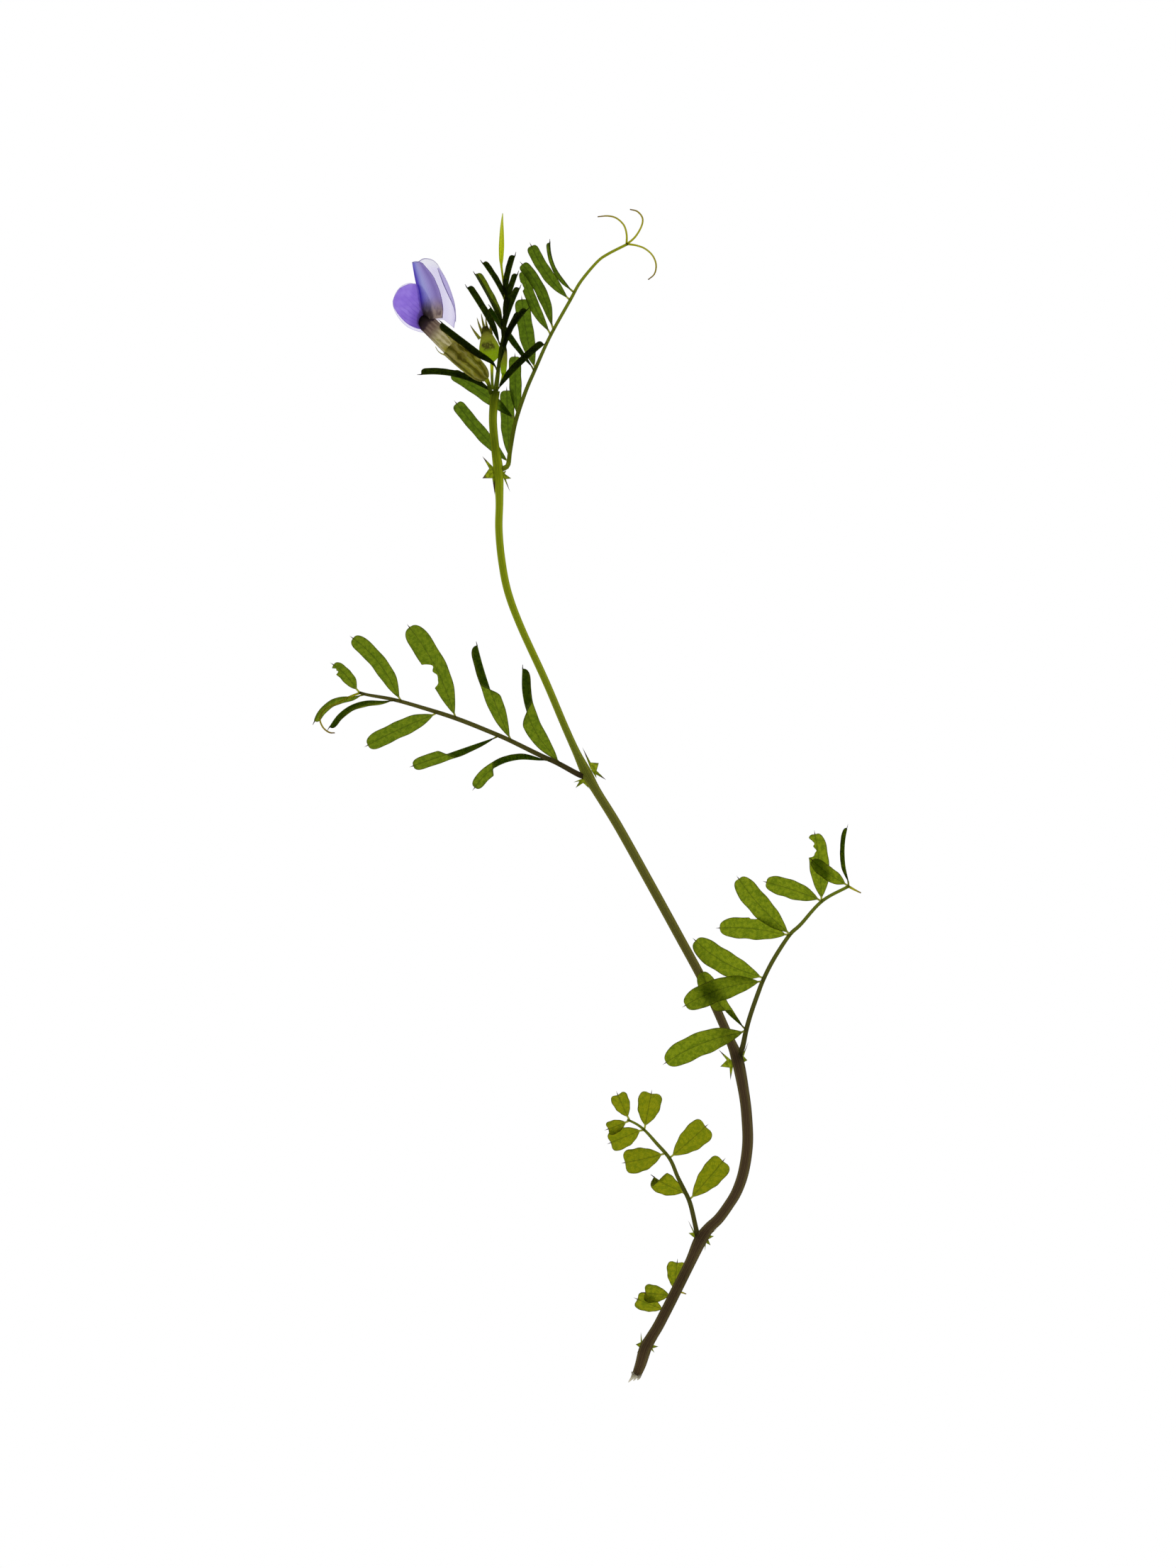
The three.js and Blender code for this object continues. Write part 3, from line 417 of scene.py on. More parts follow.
def leaflet_rings(line, width, fullest=0.4, blunt=0.5, fold=9, notch=0.35, bites=(), closing=None):
    """Rings round a leaflet, and the marks for its material.

    The line runs from its stalk to its bristle's tip. Each half widens as a sine up to fullest, from
    0 at the foot to 1 at the tip, runs on as a strap and ends in a quarter of an ellipse. Blunt is
    that quarter's length as a share of the width, and the notch is how far the tip's corners pass
    its middle. Fold is the angle that each half rises, in degrees. Bites are (side, place, half
    length, depth), and closing is (side, [(v, angle)]) for a half that folds over the other. The
    side is 1 for the right of the midrib and -1 for the left, from the foot."""
    path = route(line, STEP)
    length = np.linalg.norm(np.diff(path, axis=0), axis=1).sum()
    s = np.linspace(0, length, len(path))
    blade_start, blade_end = LEAFLET_STALK, length - BRISTLE
    v = np.clip((s - blade_start) / (blade_end - blade_start), 0, 1)
    tip = blunt * width / (blade_end - blade_start)
    rounding = np.sqrt(1 - np.clip((v - 1 + tip) / tip, 0, 1) ** 2.4)
    outline = width / 2 * np.sin(np.pi / 2 * np.minimum(v / fullest, 1)) ** 0.8 * rounding
    foot = np.clip((blade_start + 0.3 - s) / 0.3, 0, 1)
    bristle = np.clip((s - blade_end + 0.1) / 0.2, 0, 1)
    least = np.where(s < length / 2, 0.17, 0.1 * np.clip((length - s) / BRISTLE, 0.15, 1))
    u = np.linspace(-1, 1, COLUMNS)
    half = np.maximum(outline, least)[:, None] * np.abs(u)[None]
    crinkle = np.sin(23 * v[:, None] + 2 * u) * np.abs(u) ** 3 * (v * (1 - v))[:, None]
    half = half * (1 + 0.12 * crinkle)
    for bite_side, place, reach, depth in bites:
        gap = np.clip(1.25 - ((v - place) / reach) ** 2, 0, 1) ** 0.5
        rough = 1 + 0.12 * np.sin(61 * v) + 0.1 * np.sin(37 * v)
        half = np.where(np.sign(u)[None] == bite_side, half * (1 - (depth * gap * rough)[:, None]), half)
    side, up = frame_along(path)
    forward = np.cross(up, side)
    angle = np.full((len(path), len(u)), math.radians(fold))
    if closing:
        closing_side, stops = closing
        closed = np.radians(np.interp(v, [p for p, _ in stops], [a for _, a in stops]))
        angle = np.where(np.sign(u)[None] == closing_side, closed[:, None], angle)
    reach = np.sign(u)[None] * half * np.cos(angle)
    rise = half * np.sin(angle)
    spread = np.clip((v - 1 + 2 * tip) / (2 * tip), 0, 1)
    push = notch * spread[:, None] * (half / (width / 2))
    middle = path[:, None] + reach[..., None] * side[:, None] + rise[..., None] * up[:, None]
    middle = middle + push[..., None] * forward[:, None]
    middle[..., 2] += RUFFLE * np.sin(9 * v + 1.3)[:, None] * u[None] ** 2 * np.sin(np.pi * v)[:, None]
    normal = unit(np.cross(np.gradient(middle, axis=0), np.gradient(middle, axis=1)))
    stout = np.maximum(foot, bristle * 0.6)[:, None]
    thick = (BLADE * (1 - stout) + 0.3 * stout * np.clip((length - s) / BRISTLE, 0.3, 1)[:, None]) / 2
    thick = thick * (1 - 0.75 * np.abs(u) ** 8)[None]
    top, bottom = middle + normal * thick[..., None], middle - normal * thick[..., None]
    rings = np.concatenate([top, bottom[:, ::-1]], axis=1)
    low = rings[..., 2].min()
    rings[..., 2] += max(0.02 - low, 0)
    grid = np.ones_like(half)
    marks = {
        "across": both_faces(np.sign(u)[None] * half),
        "edge": both_faces(np.maximum(outline[:, None] * (1 - np.abs(u)[None]), 0)),
        "along": both_faces((s - blade_start)[:, None] * grid),
        "foot": both_faces(foot[:, None] * grid),
        "bristle": both_faces(bristle[:, None] * grid),
    }
    return rings, marks


def leaflet(node, stalk, slot, material, **form):
    """A leaflet in the place of its CAD solid, on a short stalk that reaches the leaf's stalk."""
    line = middle_line(node, stalk)
    way = unit(line[1] - line[0])
    offset = stalk[:, :3] - line[0]
    behind = offset @ -way
    aside = np.linalg.norm((offset + behind[:, None] * way)[:, :2],
                           axis=1) + 10 * ((behind < 0) | (behind > 2.2))
    root = stalk[np.argmin(aside), :3]
    line[0] = line[0] + way * 0.1
    rings, marks = leaflet_rings(np.vstack([root, line]), **form)
    skin(f"{node}_blade", rings, material, slot, [node], **marks)


# For each leaf: how blunt its leaflets are, the line of its stalk, the lines of its tendrils (x, y,
# height and thickness) and the form of each leaflet, as leaflet_rings reads it.
LEAVES = {
    "leaf_1": {
        "blunt": 0.38,
        "stalk": [(11, -96.3, 0.5, 0.7), (11.4, -95.5, 0.35, 0.6), (12.5, -93.7, 0.35, 0.55),
                  (14.2, -90.4, 0.35, 0.55), (15.1, -88.1, 0.35, 0.5), (15.8, -87.4, 0.35, 0.4)],
        "tendrils": [[(15.7, -87.5, 0.35, 0.4), (16.6, -87.5, 0.3, 0.35), (17.5, -87.8, 0.2, 0.2)]],
        "leaflets": {
            "1_left": {"width": 3.1, "fullest": 0.75, "notch": 0.72},
            "2_left": {"width": 3.3, "fullest": 0.75, "notch": 0.78},
            "2_right": {"width": 3.5, "fullest": 0.78, "notch": 0.84},
        },
    },
    "leaf_2": {
        "blunt": 0.38,
        "stalk": [(19.6, -78, 1.3, 1), (19.2, -76.1, 1.2, 0.85), (18.2, -71.8, 1.2, 0.8),
                  (17.1, -69.3, 1.2, 0.75),
                  (16, -67.1, 1.2, 0.7), (14.6, -63.9, 1.1, 0.65), (12.2, -61.1, 1, 0.6), (10.4, -59.1, 0.9,
                                                                                           0.5),
                  (8.9, -57.9, 0.8, 0.45), (7.1, -57, 0.7, 0.4)],
        "tendrils": [],
        "leaflets": {
            "1_right": {"width": 4.2, "fullest": 0.72, "notch": 0.6},
            "1_left": {"width": 4, "fullest": 0.7, "notch": 0.3,
                       "closing": (1, [(0.7, 9), (0.86, 150), (1, 168)])},
            "2_right": {"width": 4.6, "fullest": 0.75, "notch": 0.84},
            "2_left": {"width": 4.4, "fullest": 0.66, "notch": 0.6},
            "3_right": {"width": 4.2, "fullest": 0.7, "notch": 0.9},
            "3_left": {"width": 3.7, "fullest": 0.62, "notch": 0.78},
            "4_right": {"width": 3.1, "fullest": 0.72, "notch": 0.78},
            "4_left": {"width": 2.5, "fullest": 0.7, "notch": 0.66},
        },
    },
    "leaf_3": {
        "blunt": 1.15,
        "stalk": [(26.6, -46.4, 0.9, 1.1), (27.4, -44.2, 1.4, 0.95), (28, -41.3, 1.9, 0.85),
                  (28.8, -38.4, 2.2, 0.8),
                  (30, -34.9, 2.5, 0.8), (31.1, -32.1, 2.5, 0.75), (32.9, -28.6, 2.4, 0.75), (35.6, -24.5,
                                                                                              2.2, 0.7),
                  (37.6, -22.6, 2, 0.65), (41.4, -18.5, 1.6, 0.6), (46.1, -15.9, 1.1, 0.55)],
        "tendrils": [[(46, -15.9, 1.1, 0.5), (47.3, -16.6, 0.6, 0.35), (48.3, -17.1, 0.2, 0.22)]],
        "leaflets": {
            "1_left": {"width": 4.2, "fullest": 0.48},
            "1_right": {"width": 3.4, "fullest": 0.75, "closing": (-1, [(0, 160), (0.3, 140), (0.45, 9)])},
            "2_left": {"width": 4, "fullest": 0.48, "notch": 0.6},
            "2_right": {"width": 4.2, "fullest": 0.5, "notch": 0.7},
            "3_left": {"width": 3.8, "fullest": 0.48, "notch": 0.4, "bites": [(1, 0.5, 0.04, 0.12)]},
            "3_right": {"width": 3.9, "fullest": 0.5, "notch": 0.8},
            "4_left": {"width": 3.3, "fullest": 0.48, "notch": 0.7},
            "4_right": {"width": 3.5, "fullest": 0.48, "notch": 0.9, "bites": [(-1, 0.76, 0.13, 0.75)]},
            "5_left": {"width": 2.4},
            "5_right": {"width": 1.6, "closing": (1, [(0, 165), (1, 160)]), "fold": 20},
        },
    },
    "leaf_4": {
        "blunt": 0.9,
        "stalk": [(-0.6, 3.5, 1, 1.1), (-1.7, 3.9, 0.9, 1), (-5.2, 5.8, 1.3, 0.9), (-8.1, 7.1, 1.5, 0.85),
                  (-13.4, 9.7, 1.6, 0.8), (-16.6, 11.1, 1.6, 0.8), (-22.9, 13.6, 1.5, 0.8), (-29.5, 15.7,
                                                                                             1.3, 0.7),
                  (-34.2, 17, 1.2, 0.65), (-38.6, 17.8, 1.1, 0.55), (-40, 18.2, 1.1, 0.5)],
        "tendrils": [[(-39.8, 18.2, 1.1, 0.45), (-42.1, 17.3, 1.1, 0.38), (-43.9, 16.3, 1.2, 0.34),
                      (-46.2, 15.2, 1.1, 0.32), (-47, 13.6, 0.9, 0.3), (-46.5, 12.1, 0.8, 0.3),
                      (-45.4, 11.2, 0.8, 0.28), (-44.4, 11.1, 0.8, 0.2)]],
        "leaflets": {
            "1_right": {"width": 3.1, "closing": (-1, [(0.45, 9), (0.66, 160), (1, 160)])},
            "1_left": {"width": 2.2, "closing": (-1, [(0, 165), (0.62, 165), (0.72, 12), (1, 9)])},
            "2_right": {"width": 2.9, "closing": (1, [(0.42, 9), (0.6, 160), (1, 160)])},
            "2_left": {"width": 2.3, "fullest": 0.48,
                       "closing": (1, [(0, 160), (0.5, 160), (0.68, 12), (1, 9)])},
            "3_right": {"width": 4, "fullest": 0.5, "bites": [(-1, 0.46, 0.12, 0.75)]},
            "3_left": {"width": 3},
            "4_right": {"width": 2.8},
            "4_left": {"width": 2.1, "closing": (1, [(0, 120), (0.3, 140), (1, 165)])},
            "5_right": {"width": 2.2, "bites": [(-1, 0.82, 0.1, 0.6)]},
            "5_left": {"width": 1.9, "closing": (1, [(0, 90), (0.5, 70), (1, 80)])},
        },
    },
    "leaf_5": {
        "blunt": 0.6,
        "stalk": [(-15, 57.5, 1.7, 0.95), (-13.9, 58.2, 1.6, 0.85), (-13.5, 60.8, 1.5, 0.75),
                  (-12.6, 65.7, 1.4, 0.75),
                  (-10.9, 70.9, 1.3, 0.7), (-9.2, 74.9, 1.2, 0.65), (-6.5, 80.9, 1, 0.6), (-2.9, 87.4, 0.9,
                                                                                           0.58),
                  (-1.1, 90.6, 0.7, 0.55), (1.8, 94.1, 0.4, 0.5), (3.7, 95.5, 0.35, 0.5), (7.2, 97.3, 0.3,
                                                                                           0.48)],
        "tendrils": [
            [(7, 97.2, 0.3, 0.4), (7, 99, 0.35, 0.34), (6.5, 100.6, 0.5, 0.32), (5.2, 101.8, 0.6, 0.3),
             (3.7, 102.2, 0.5, 0.28), (1.9, 102.1, 0.2, 0.2)],
            [(7, 97.2, 0.3, 0.4), (8.5, 98.5, 0.5, 0.35), (9.6, 100.3, 0.8, 0.32), (9.8, 101.8, 0.7, 0.3),
             (8.9, 103, 0.4, 0.28), (7.6, 103.4, 0.2, 0.2)],
            [(7, 97.3, 0.3, 0.4), (8.8, 97, 0.4, 0.34), (10.3, 96.4, 0.5, 0.32), (11.6, 95.2, 0.5, 0.3),
             (12.2, 93.6, 0.4, 0.3), (11.9, 92, 0.3, 0.26), (10.8, 91, 0.2, 0.2)],
        ],
        "leaflets": {
            "1_left": {"width": 2.3, "fullest": 0.5, "notch": 0.4},
            "1_right": {"width": 2.5, "fullest": 0.48},
            "2_left": {"width": 2.2, "fullest": 0.48, "notch": 0.4},
            "2_right": {"width": 2.2, "fullest": 0.48},
            "3_right": {"width": 2.7, "fullest": 0.48},
            "3_left": {"width": 2.1, "fullest": 0.48, "closing": (1, [(0, 160), (1, 160)])},
            "4_left": {"width": 1.9, "fullest": 0.48, "bites": [(-1, 0.78, 0.05, 0.35)]},
            "4_right": {"width": 2, "fullest": 0.48},
            "5_left": {"width": 2.1, "fullest": 0.48, "notch": 0.3},
            "5_right": {"width": 1.4, "closing": (1, [(0, 60), (1, 120)])},
        },
    },
}
leaf_paths = {name: route(leaf["stalk"]) for name, leaf in LEAVES.items()}
for name, leaf in LEAVES.items():
    for leaflet_name, form in leaf["leaflets"].items():
        form = {"blunt": leaf["blunt"], **form}
        leaflet(f"{name}_leaflet_{leaflet_name}", leaf_paths[name], "leaf", LEAF_GREENS[name], **form)


# ---- The leaf stalks and tendrils ----------------------------------------------------------------
# Slender grooved stalks, olive to brown below and green above, that end in thin curling tendrils of
# a bright yellow-green with brown tips.

STALK_TURNS = np.linspace(0, 1, 16, endpoint=False)


def stalk_skin(name, colours, groove):
    """A stalk's material, with its colours from the stem outwards and dark lines along it."""
    material = new_material(name)
    colour = ramp(material, mark(material, "along"), colours)
    lines = sums(material, "SINE", sums(material, "MULTIPLY", mark(material, "turn"), 12 * math.pi))
    mottled = sums(material, "ADD", lines, grain(material, 0.4))
    colour = blend(material, sums(material, "MULTIPLY", ease(material, mottled, 0.3, 1.6), 0.6), colour,
                   groove)
    return living(material, colour, relief=lines, depth=0.03)


lower_stalk = stalk_skin("brown leaf stalk", [(0, "#4f4a22"), (0.5, "#5f6420"), (1, "#7a8a1c")], "#36301c")
olive_stalk = stalk_skin("olive leaf stalk", [(0, "#3f3420"), (0.35, "#5a5822"), (1, "#5e5c26")], "#33291c")
upper_stalk = stalk_skin("green leaf stalk",
                         [(0, "#7f8c16"), (0.35, "#5e6a1c"), (0.7, "#7c8a1c"), (1, "#a3ac1c")], "#4a4a1c")
tendril_skin = stalk_skin("tendril", [(0, "#b4b81c"), (0.5, "#b9b42a"), (0.85, "#a08c30"), (1, "#6a4a28")],
                          "#7a7420")
STALK_SKINS = {"leaf_1": lower_stalk, "leaf_2": lower_stalk, "leaf_3": lower_stalk, "leaf_4": olive_stalk,
               "leaf_5": upper_stalk}


def stalk_piece(name, path, material, slot, replaced=()):
    """A round stalk with a groove along its top, along a path whose fourth number is thickness."""
    grooved = 1 - 0.14 * np.exp(-((STALK_TURNS - 0.25) / 0.06) ** 2)
    rings = around(path, path[:, 3:4] / 2 * grooved, 2 * math.pi * STALK_TURNS)
    progress = np.linspace(0, 1, len(path))[:, None]
    skin(name, rings, material, slot, replaced, along=progress, turn=STALK_TURNS[None])


for name, leaf in LEAVES.items():
    stalk_piece(f"{name}_stalk_skin", leaf_paths[name], STALK_SKINS[name], "stalk", [f"{name}_stalk"])
    for number, tendril in enumerate(leaf["tendrils"], 1):
        stalk_piece(f"{name}_tendril_{number}", route(tendril, 0.2), tendril_skin, "stalk")


# ---- The stipules --------------------------------------------------------------------------------
# A pair of small toothed half-arrows sits at the foot of each leaf. Each is one thin green plate
# that spreads from a seat on the stem to three or four teeth.

# Each stipule: its seat's x, y and height, and the points of its teeth in order round it.
STIPULES = [
    ((9.9, -96.9, 0.95), [(9.5, -94.4), (8.6, -96.6), (8.8, -98.2)]),
    ((10.9, -97.1, 0.8), [(11.9, -98.1), (12.6, -97), (12.4, -95.6)]),
    ((19.6, -77.9, 0.9), [(17.8, -74.7), (17.9, -77), (18.6, -78.6)]),
    ((20.7, -77.9, 0.55), [(20.8, -80.2), (21.8, -79.2), (22.4, -77.6), (23, -76.2)]),
    ((25.9, -46.9, 0.5), [(23.2, -44.7), (23.5, -47.7), (25.3, -50.1)]),
    ((26.9, -46.8, 0.4), [(27.4, -48.2), (28.3, -46.6), (28.5, -43.3)]),
    ((0.7, 4.6, 0.5), [(1.7, 3.1), (3.4, 2.8), (2.1, 5.8), (-0.8, 8.6)]),
    ((-0.5, 3.2, 0.4), [(-2.4, 2.4), (-2, 1.4), (0.4, 1.3)]),
    ((-16, 57.4, 1.5), [(-18.4, 59.8), (-18.4, 55.9), (-16.2, 52.9)]),
    ((-15.1, 56.8, 1.3), [(-13.5, 53.5), (-13.3, 55.9), (-14.2, 57.3)]),
]
VALLEY = 0.5  # how far out the notch between two teeth is, as a share of the teeth's reach
STIPULE = 0.14  # thickness
stipule_green = leaf_tissue("stipule", "#93a11a", "#62700e", "#b4bc34", "#3a3a14")
for number, (seat, tips) in enumerate(STIPULES, 1):
    corners = [tips[0]]
    for before, after in zip(tips, tips[1:]):
        halfway = (np.add(before, after) / 2 - seat[:2]) * VALLEY + seat[:2]
        corners += [tuple(halfway), after]
    places = np.linspace(0, len(corners) - 1, 8 * (len(corners) - 1) + 1)
    rim = np.array([np.interp(places, range(len(corners)), [c[k] for c in corners]) for k in (0, 1)]).T
    v = np.linspace(0.06, 1, 14)[:, None, None]
    plate = np.array(seat[:2]) + v * (rim - seat[:2])
    reach = np.linalg.norm(rim - seat[:2], axis=1)
    height = seat[2] + 0.25 * np.sin(v[..., 0] * 3) - 0.1 * (places % 2 - 1) ** 2 * v[..., 0]
    half = STIPULE / 2 * (1 - 0.7 * v[..., 0] ** 6) + 0 * reach
    layers = [np.dstack([plate, height + k * half]) for k in (1, -1)]
    rings = np.concatenate([layers[0], layers[1][:, ::-1]], axis=1)
    out = v[..., 0] * reach
    skin(f"stipule_{number}", rings, stipule_green, "stem", across=0.5, edge=both_faces(reach - out),
         along=both_faces(out), foot=0.0, bristle=both_faces(np.clip(out * 3 - 6.2, 0, 1)))


# ---- The shoot tip -------------------------------------------------------------------------------
# The youngest leaf has not opened. Its leaflets are folded along their midribs, so they look narrow
# and dark, and its tendril is still a straight bright spike.

young_green = leaf_tissue("young vetch leaf", "#5c6c12", "#46560e", "#77861c", "#2c340c")
SHOOT_STALK = [
    (-16.1, 70.6, 2.3, 1), (-16, 71.4, 2.5, 0.9), (-15.6, 74.5, 2.9, 0.7), (-15.2, 78.2, 3.2, 0.55),
    (-14.6, 81.4, 3.3, 0.5), (-14.2, 85.7, 3.2, 0.45), (-14.6, 89.8, 3, 0.4), (-15, 93, 2.8, 0.4),
    (-15.05, 94.4, 2.7, 0.75), (-15, 96.5, 2.65, 0.95), (-14.95, 99, 2.6, 0.75), (-14.9, 100.8, 2.5, 0.45),
    (-14.8, 102.4, 2.5, 0.14),
]
SHOOT_STEP = 0.3  # between the rings along it
BELOW = 3  # rings of it that are inside the stem
shoot_path = route(SHOOT_STALK, SHOOT_STEP)
spike_green = stalk_skin("shoot tip stalk",
                         [(0, "#6c7a14"), (0.45, "#5c6a1a"), (0.66, "#a4ae14"), (0.78, "#cfdc14"),
                          (1, "#d4da44")], "#4c5a14")
stalk_piece("shoot_stalk", shoot_path, spike_green, "young_leaf", ["shoot_tip"])

# Each young leaflet: its side and number, how far up the shoot it grows, the way it points in
# degrees, its length and width, the height of its tip, and how far it is folded shut in degrees.
YOUNG = [
    ("right_0", 3.6, 68, 11.2, 2, 2.5, 165),
    ("left_1", 7.5, 120, 12.7, 2.2, 2.2, 165), ("left_2", 10.4, 117, 11.9, 2.4, 2.4, 110),
    ("left_3", 15.3, 121, 8.7, 1.9, 2.6, 160), ("right_1", 6.6, 57, 9.4, 1.9, 2.6, 165),
    ("right_2", 7.8, 72, 11.2, 2, 2.4, 165), ("right_3", 10.8, 76, 10.4, 1.9, 2.6, 165),
    ("right_4", 15, 79, 9.3, 2, 2.8, 165),
]
for name, distance, heading, length, width, tip_height, shut in YOUNG:
    root = shoot_path[int(distance / SHOOT_STEP) + BELOW, :3]
    way = np.array([math.cos(math.radians(heading)), math.sin(math.radians(heading)), 0])
    tip = root + way * length
    tip[2] = tip_height
    lean = np.cross([0, 0, 1], way) * (0.3 if name.startswith("right") else -0.2)
    line = [root, root + (tip - root) * 0.5 + lean + (0, 0, 0.15), tip]
    side_shut = 1 if name.startswith("right") else -1
    rings, marks = leaflet_rings(line, width, closing=(side_shut, [(0, 165), (0.5, shut), (1, shut)]))
    skin(f"young_leaflet_{name}", rings, young_green, "young_leaf", **marks)

for node, side_shut, width in (("left", -1, 2.2), ("right", 1, 2.3), ("flower", 1, 2.4)):
    name = f"shoot_leaflet_{node}"
    leaflet(name, shoot_path[:14], "young_leaf", young_green, width=width, fold=12,
            closing=(side_shut, [(0, 165), (0.6, 165), (1, 160)]))


# ---- The calyx -----------------------------------------------------------------------------------
# A ribbed green tube with five narrow, finely hairy teeth. It is thin enough to show the pale claws
# of the petals inside it as light and dark streaks.

FLOWER_FOOT = np.array([-17.6, 73.3, 2.2])
FLOWER_HEADING = math.radians(137)
tube_way = np.array([math.cos(FLOWER_HEADING), math.sin(FLOWER_HEADING), 0])
back_way = np.array([tube_way[1], -tube_way[0], 0])


def on_tube(s, radius, angle):
    """Points at a distance along the flower's tube, a radius from its middle, and an angle round it
    from its back, with the upper side at 90 degrees."""
    s, radius, angle = (np.asarray(value, float) for value in (s, radius, angle))
    point = FLOWER_FOOT + s[..., None] * tube_way
    point = point + (radius * np.cos(angle))[..., None] * back_way
    return point + (radius * np.sin(angle))[..., None] * np.array([0, 0, 1.0])


CALYX = [(0, 0.55), (0.5, 1.05), (1.5, 1.5), (3.5, 1.8), (6, 1.95), (8.6, 2)]  # distance, radius
CALYX_WALL = 0.12  # thickness
CALYX_LENGTH, RIM_RADIUS = CALYX[-1]
# Teeth: the angle round the tube in degrees and the length of each. The lowest one stands out.
CALYX_TEETH = [(182, 2.3), (120, 3.2), (62, 3.4), (300, 2.8), (242, 2.8)]
LOWEST = 182
TOOTH_HALF = 0.75  # half the width of a tooth's foot
calyx_skin = new_material("calyx")
calyx_along, calyx_turn = mark(calyx_skin, "along"), mark(calyx_skin, "turn")
calyx_base = ramp(calyx_skin, calyx_along,
                  [(0, "#a39a48"), (0.25, "#c6c25c"), (0.6, "#d6d676"), (1, "#dcd896")])
ribs_wave = sums(calyx_skin, "COSINE", sums(calyx_skin, "MULTIPLY", calyx_turn, 20 * math.pi))
patchy = sums(calyx_skin, "ADD", sums(calyx_skin, "MULTIPLY", ribs_wave, 0.35),
              grain(calyx_skin, 1.3, (1, 1, 1)))
calyx_colour = blend(calyx_skin, ease(calyx_skin, patchy, 0.5, 0.9), calyx_base, "#8f9440")
drift = sums(calyx_skin, "MULTIPLY", grain(calyx_skin, 2.0), 9.0)
streaks = sums(calyx_skin, "SINE",
               sums(calyx_skin, "ADD", sums(calyx_skin, "MULTIPLY", calyx_turn, 14 * math.pi), drift))
calyx_colour = blend(calyx_skin, ease(calyx_skin, streaks, -0.2, -1.0), calyx_colour, "#7c7a2a")
light_streak = ease(calyx_skin, streaks, 0.45, 1.0)
calyx_colour = blend(calyx_skin, sums(calyx_skin, "MULTIPLY", light_streak, 0.75), calyx_colour, "#f2eec4")
living(calyx_skin, calyx_colour, share=0.85, relief=ribs_wave, depth=0.06)

cup = route([(s, r, 0) for s, r in CALYX], 0.3)
cup_turn = np.linspace(0, 1, 64, endpoint=False)
outer_radius = cup[:, 1:2] * (1 + 0.03 * np.cos(20 * math.pi * cup_turn))
profile_s = np.concatenate([cup[:, 0], cup[::-1, 0][:-3]])
profile_r = np.concatenate([outer_radius, (outer_radius - CALYX_WALL)[::-1][:-3]])
cup_rings = on_tube(profile_s[:, None] + 0 * cup_turn, profile_r, 2 * math.pi * cup_turn)
skin("calyx_cup", cup_rings, calyx_skin, "calyx", ["calyx"], along=profile_s[:, None] / CALYX_LENGTH,
     turn=cup_turn[None])

for number, (angle, length) in enumerate(CALYX_TEETH, 1):
    v = np.linspace(0, 1, 22)[:, None]
    u = np.linspace(-1, 1, 9)[None]
    half = TOOTH_HALF * (1 - v) ** 1.25 + 0.02
    bend = math.radians(angle) + half * u / 2
    radius = RIM_RADIUS - 0.02 + 0.28 * np.sin(v * math.pi) * (angle == LOWEST) + 0 * u
    places = CALYX_LENGTH - 0.4 + v * length + 0 * u
    layers = [on_tube(places, radius + k * CALYX_WALL / 2, bend) for k in (1, -1)]
    rings = np.concatenate([layers[0], layers[1][:, ::-1]], axis=1)
    skin(f"calyx_tooth_{number}", rings, calyx_skin, "calyx", along=v * 0.3 + 0.6, turn=0.3 + 0.02 * number)

pedicel = route([(-16.8, 70.6, 2.7, 0.7), (-17.1, 71.6, 2.6, 0.65), (-17.3, 72.5, 2.4, 0.7),
                 (-17.9, 73.6, 2.2, 1)], 0.2)
stalk_piece("flower_stalk", pedicel, spike_green, "calyx")


# ---- The petals ----------------------------------------------------------------------------------
# Thin, almost see-through petals. The pale lilac standard is folded down its back, with deep violet
# bands, over two violet wings and a dark little keel. Their narrow claws run back into the calyx.

PETAL = 0.07


def petal_tissue(name, colour_of, clear=0.55, share=0.9):
    """A petal's material: part plain tissue that glows when lit from behind, part clear."""
    material = new_material(name)
    colour = colour_of(material)
    through = one_skin(material, colour, clear + share * (1 - clear))
    surface = add_node(material, "ShaderNodeBsdfPrincipled", {"Base Color": colour, "Roughness": 0.55})
    glow = add_node(material, "ShaderNodeBsdfTranslucent", {"Color": through})
    tissue = add_node(material, "ShaderNodeMixShader", {0: share, 1: surface.outputs[0], 2: glow.outputs[0]})
    window = add_node(material, "ShaderNodeBsdfTransparent", {"Color": through})
    mixed = {0: clear, 1: tissue.outputs[0], 2: window.outputs[0]}
    return finish_with(material, add_node(material, "ShaderNodeMixShader", mixed).outputs[0])


def fine_veins(material, across, along, count, lean):
    """Thin lines that run up a petal and lean outwards. Across and along run from 0 to 1."""
    fan = sums(material, "ADD", across, sums(material, "MULTIPLY", along, lean))
    wander = sums(material, "MULTIPLY", grain(material, 1.2), 0.09)
    phase = sums(material, "MULTIPLY", sums(material, "ADD", fan, wander), count * 2 * math.pi)
    return ease(material, sums(material, "SINE", phase), 0.55, 1.0)


def wing_colours(material):
    """Violet with deeper veins towards the claw, and paler at the rim."""
    across, along = mark(material, "across"), mark(material, "along")
    colour = blend(material, ease(material, grain(material, 1.1), 0.35, 0.7), "#ab8ee2", "#bea6ee")
    colour = blend(material, ease(material, along, 0.55, 0.1), colour, "#8a6cc8")
    veins = sums(material, "MULTIPLY", fine_veins(material, across, along, 9, 0.25),
                 ease(material, along, 1.0, 0.25))
    colour = blend(material, sums(material, "MULTIPLY", veins, 0.45), colour, "#6a4cb0")
    rim = ease(material, mark(material, "edge"), 0.2, 0.02)
    return blend(material, sums(material, "MULTIPLY", rim, 0.35), colour, "#5a3f98")


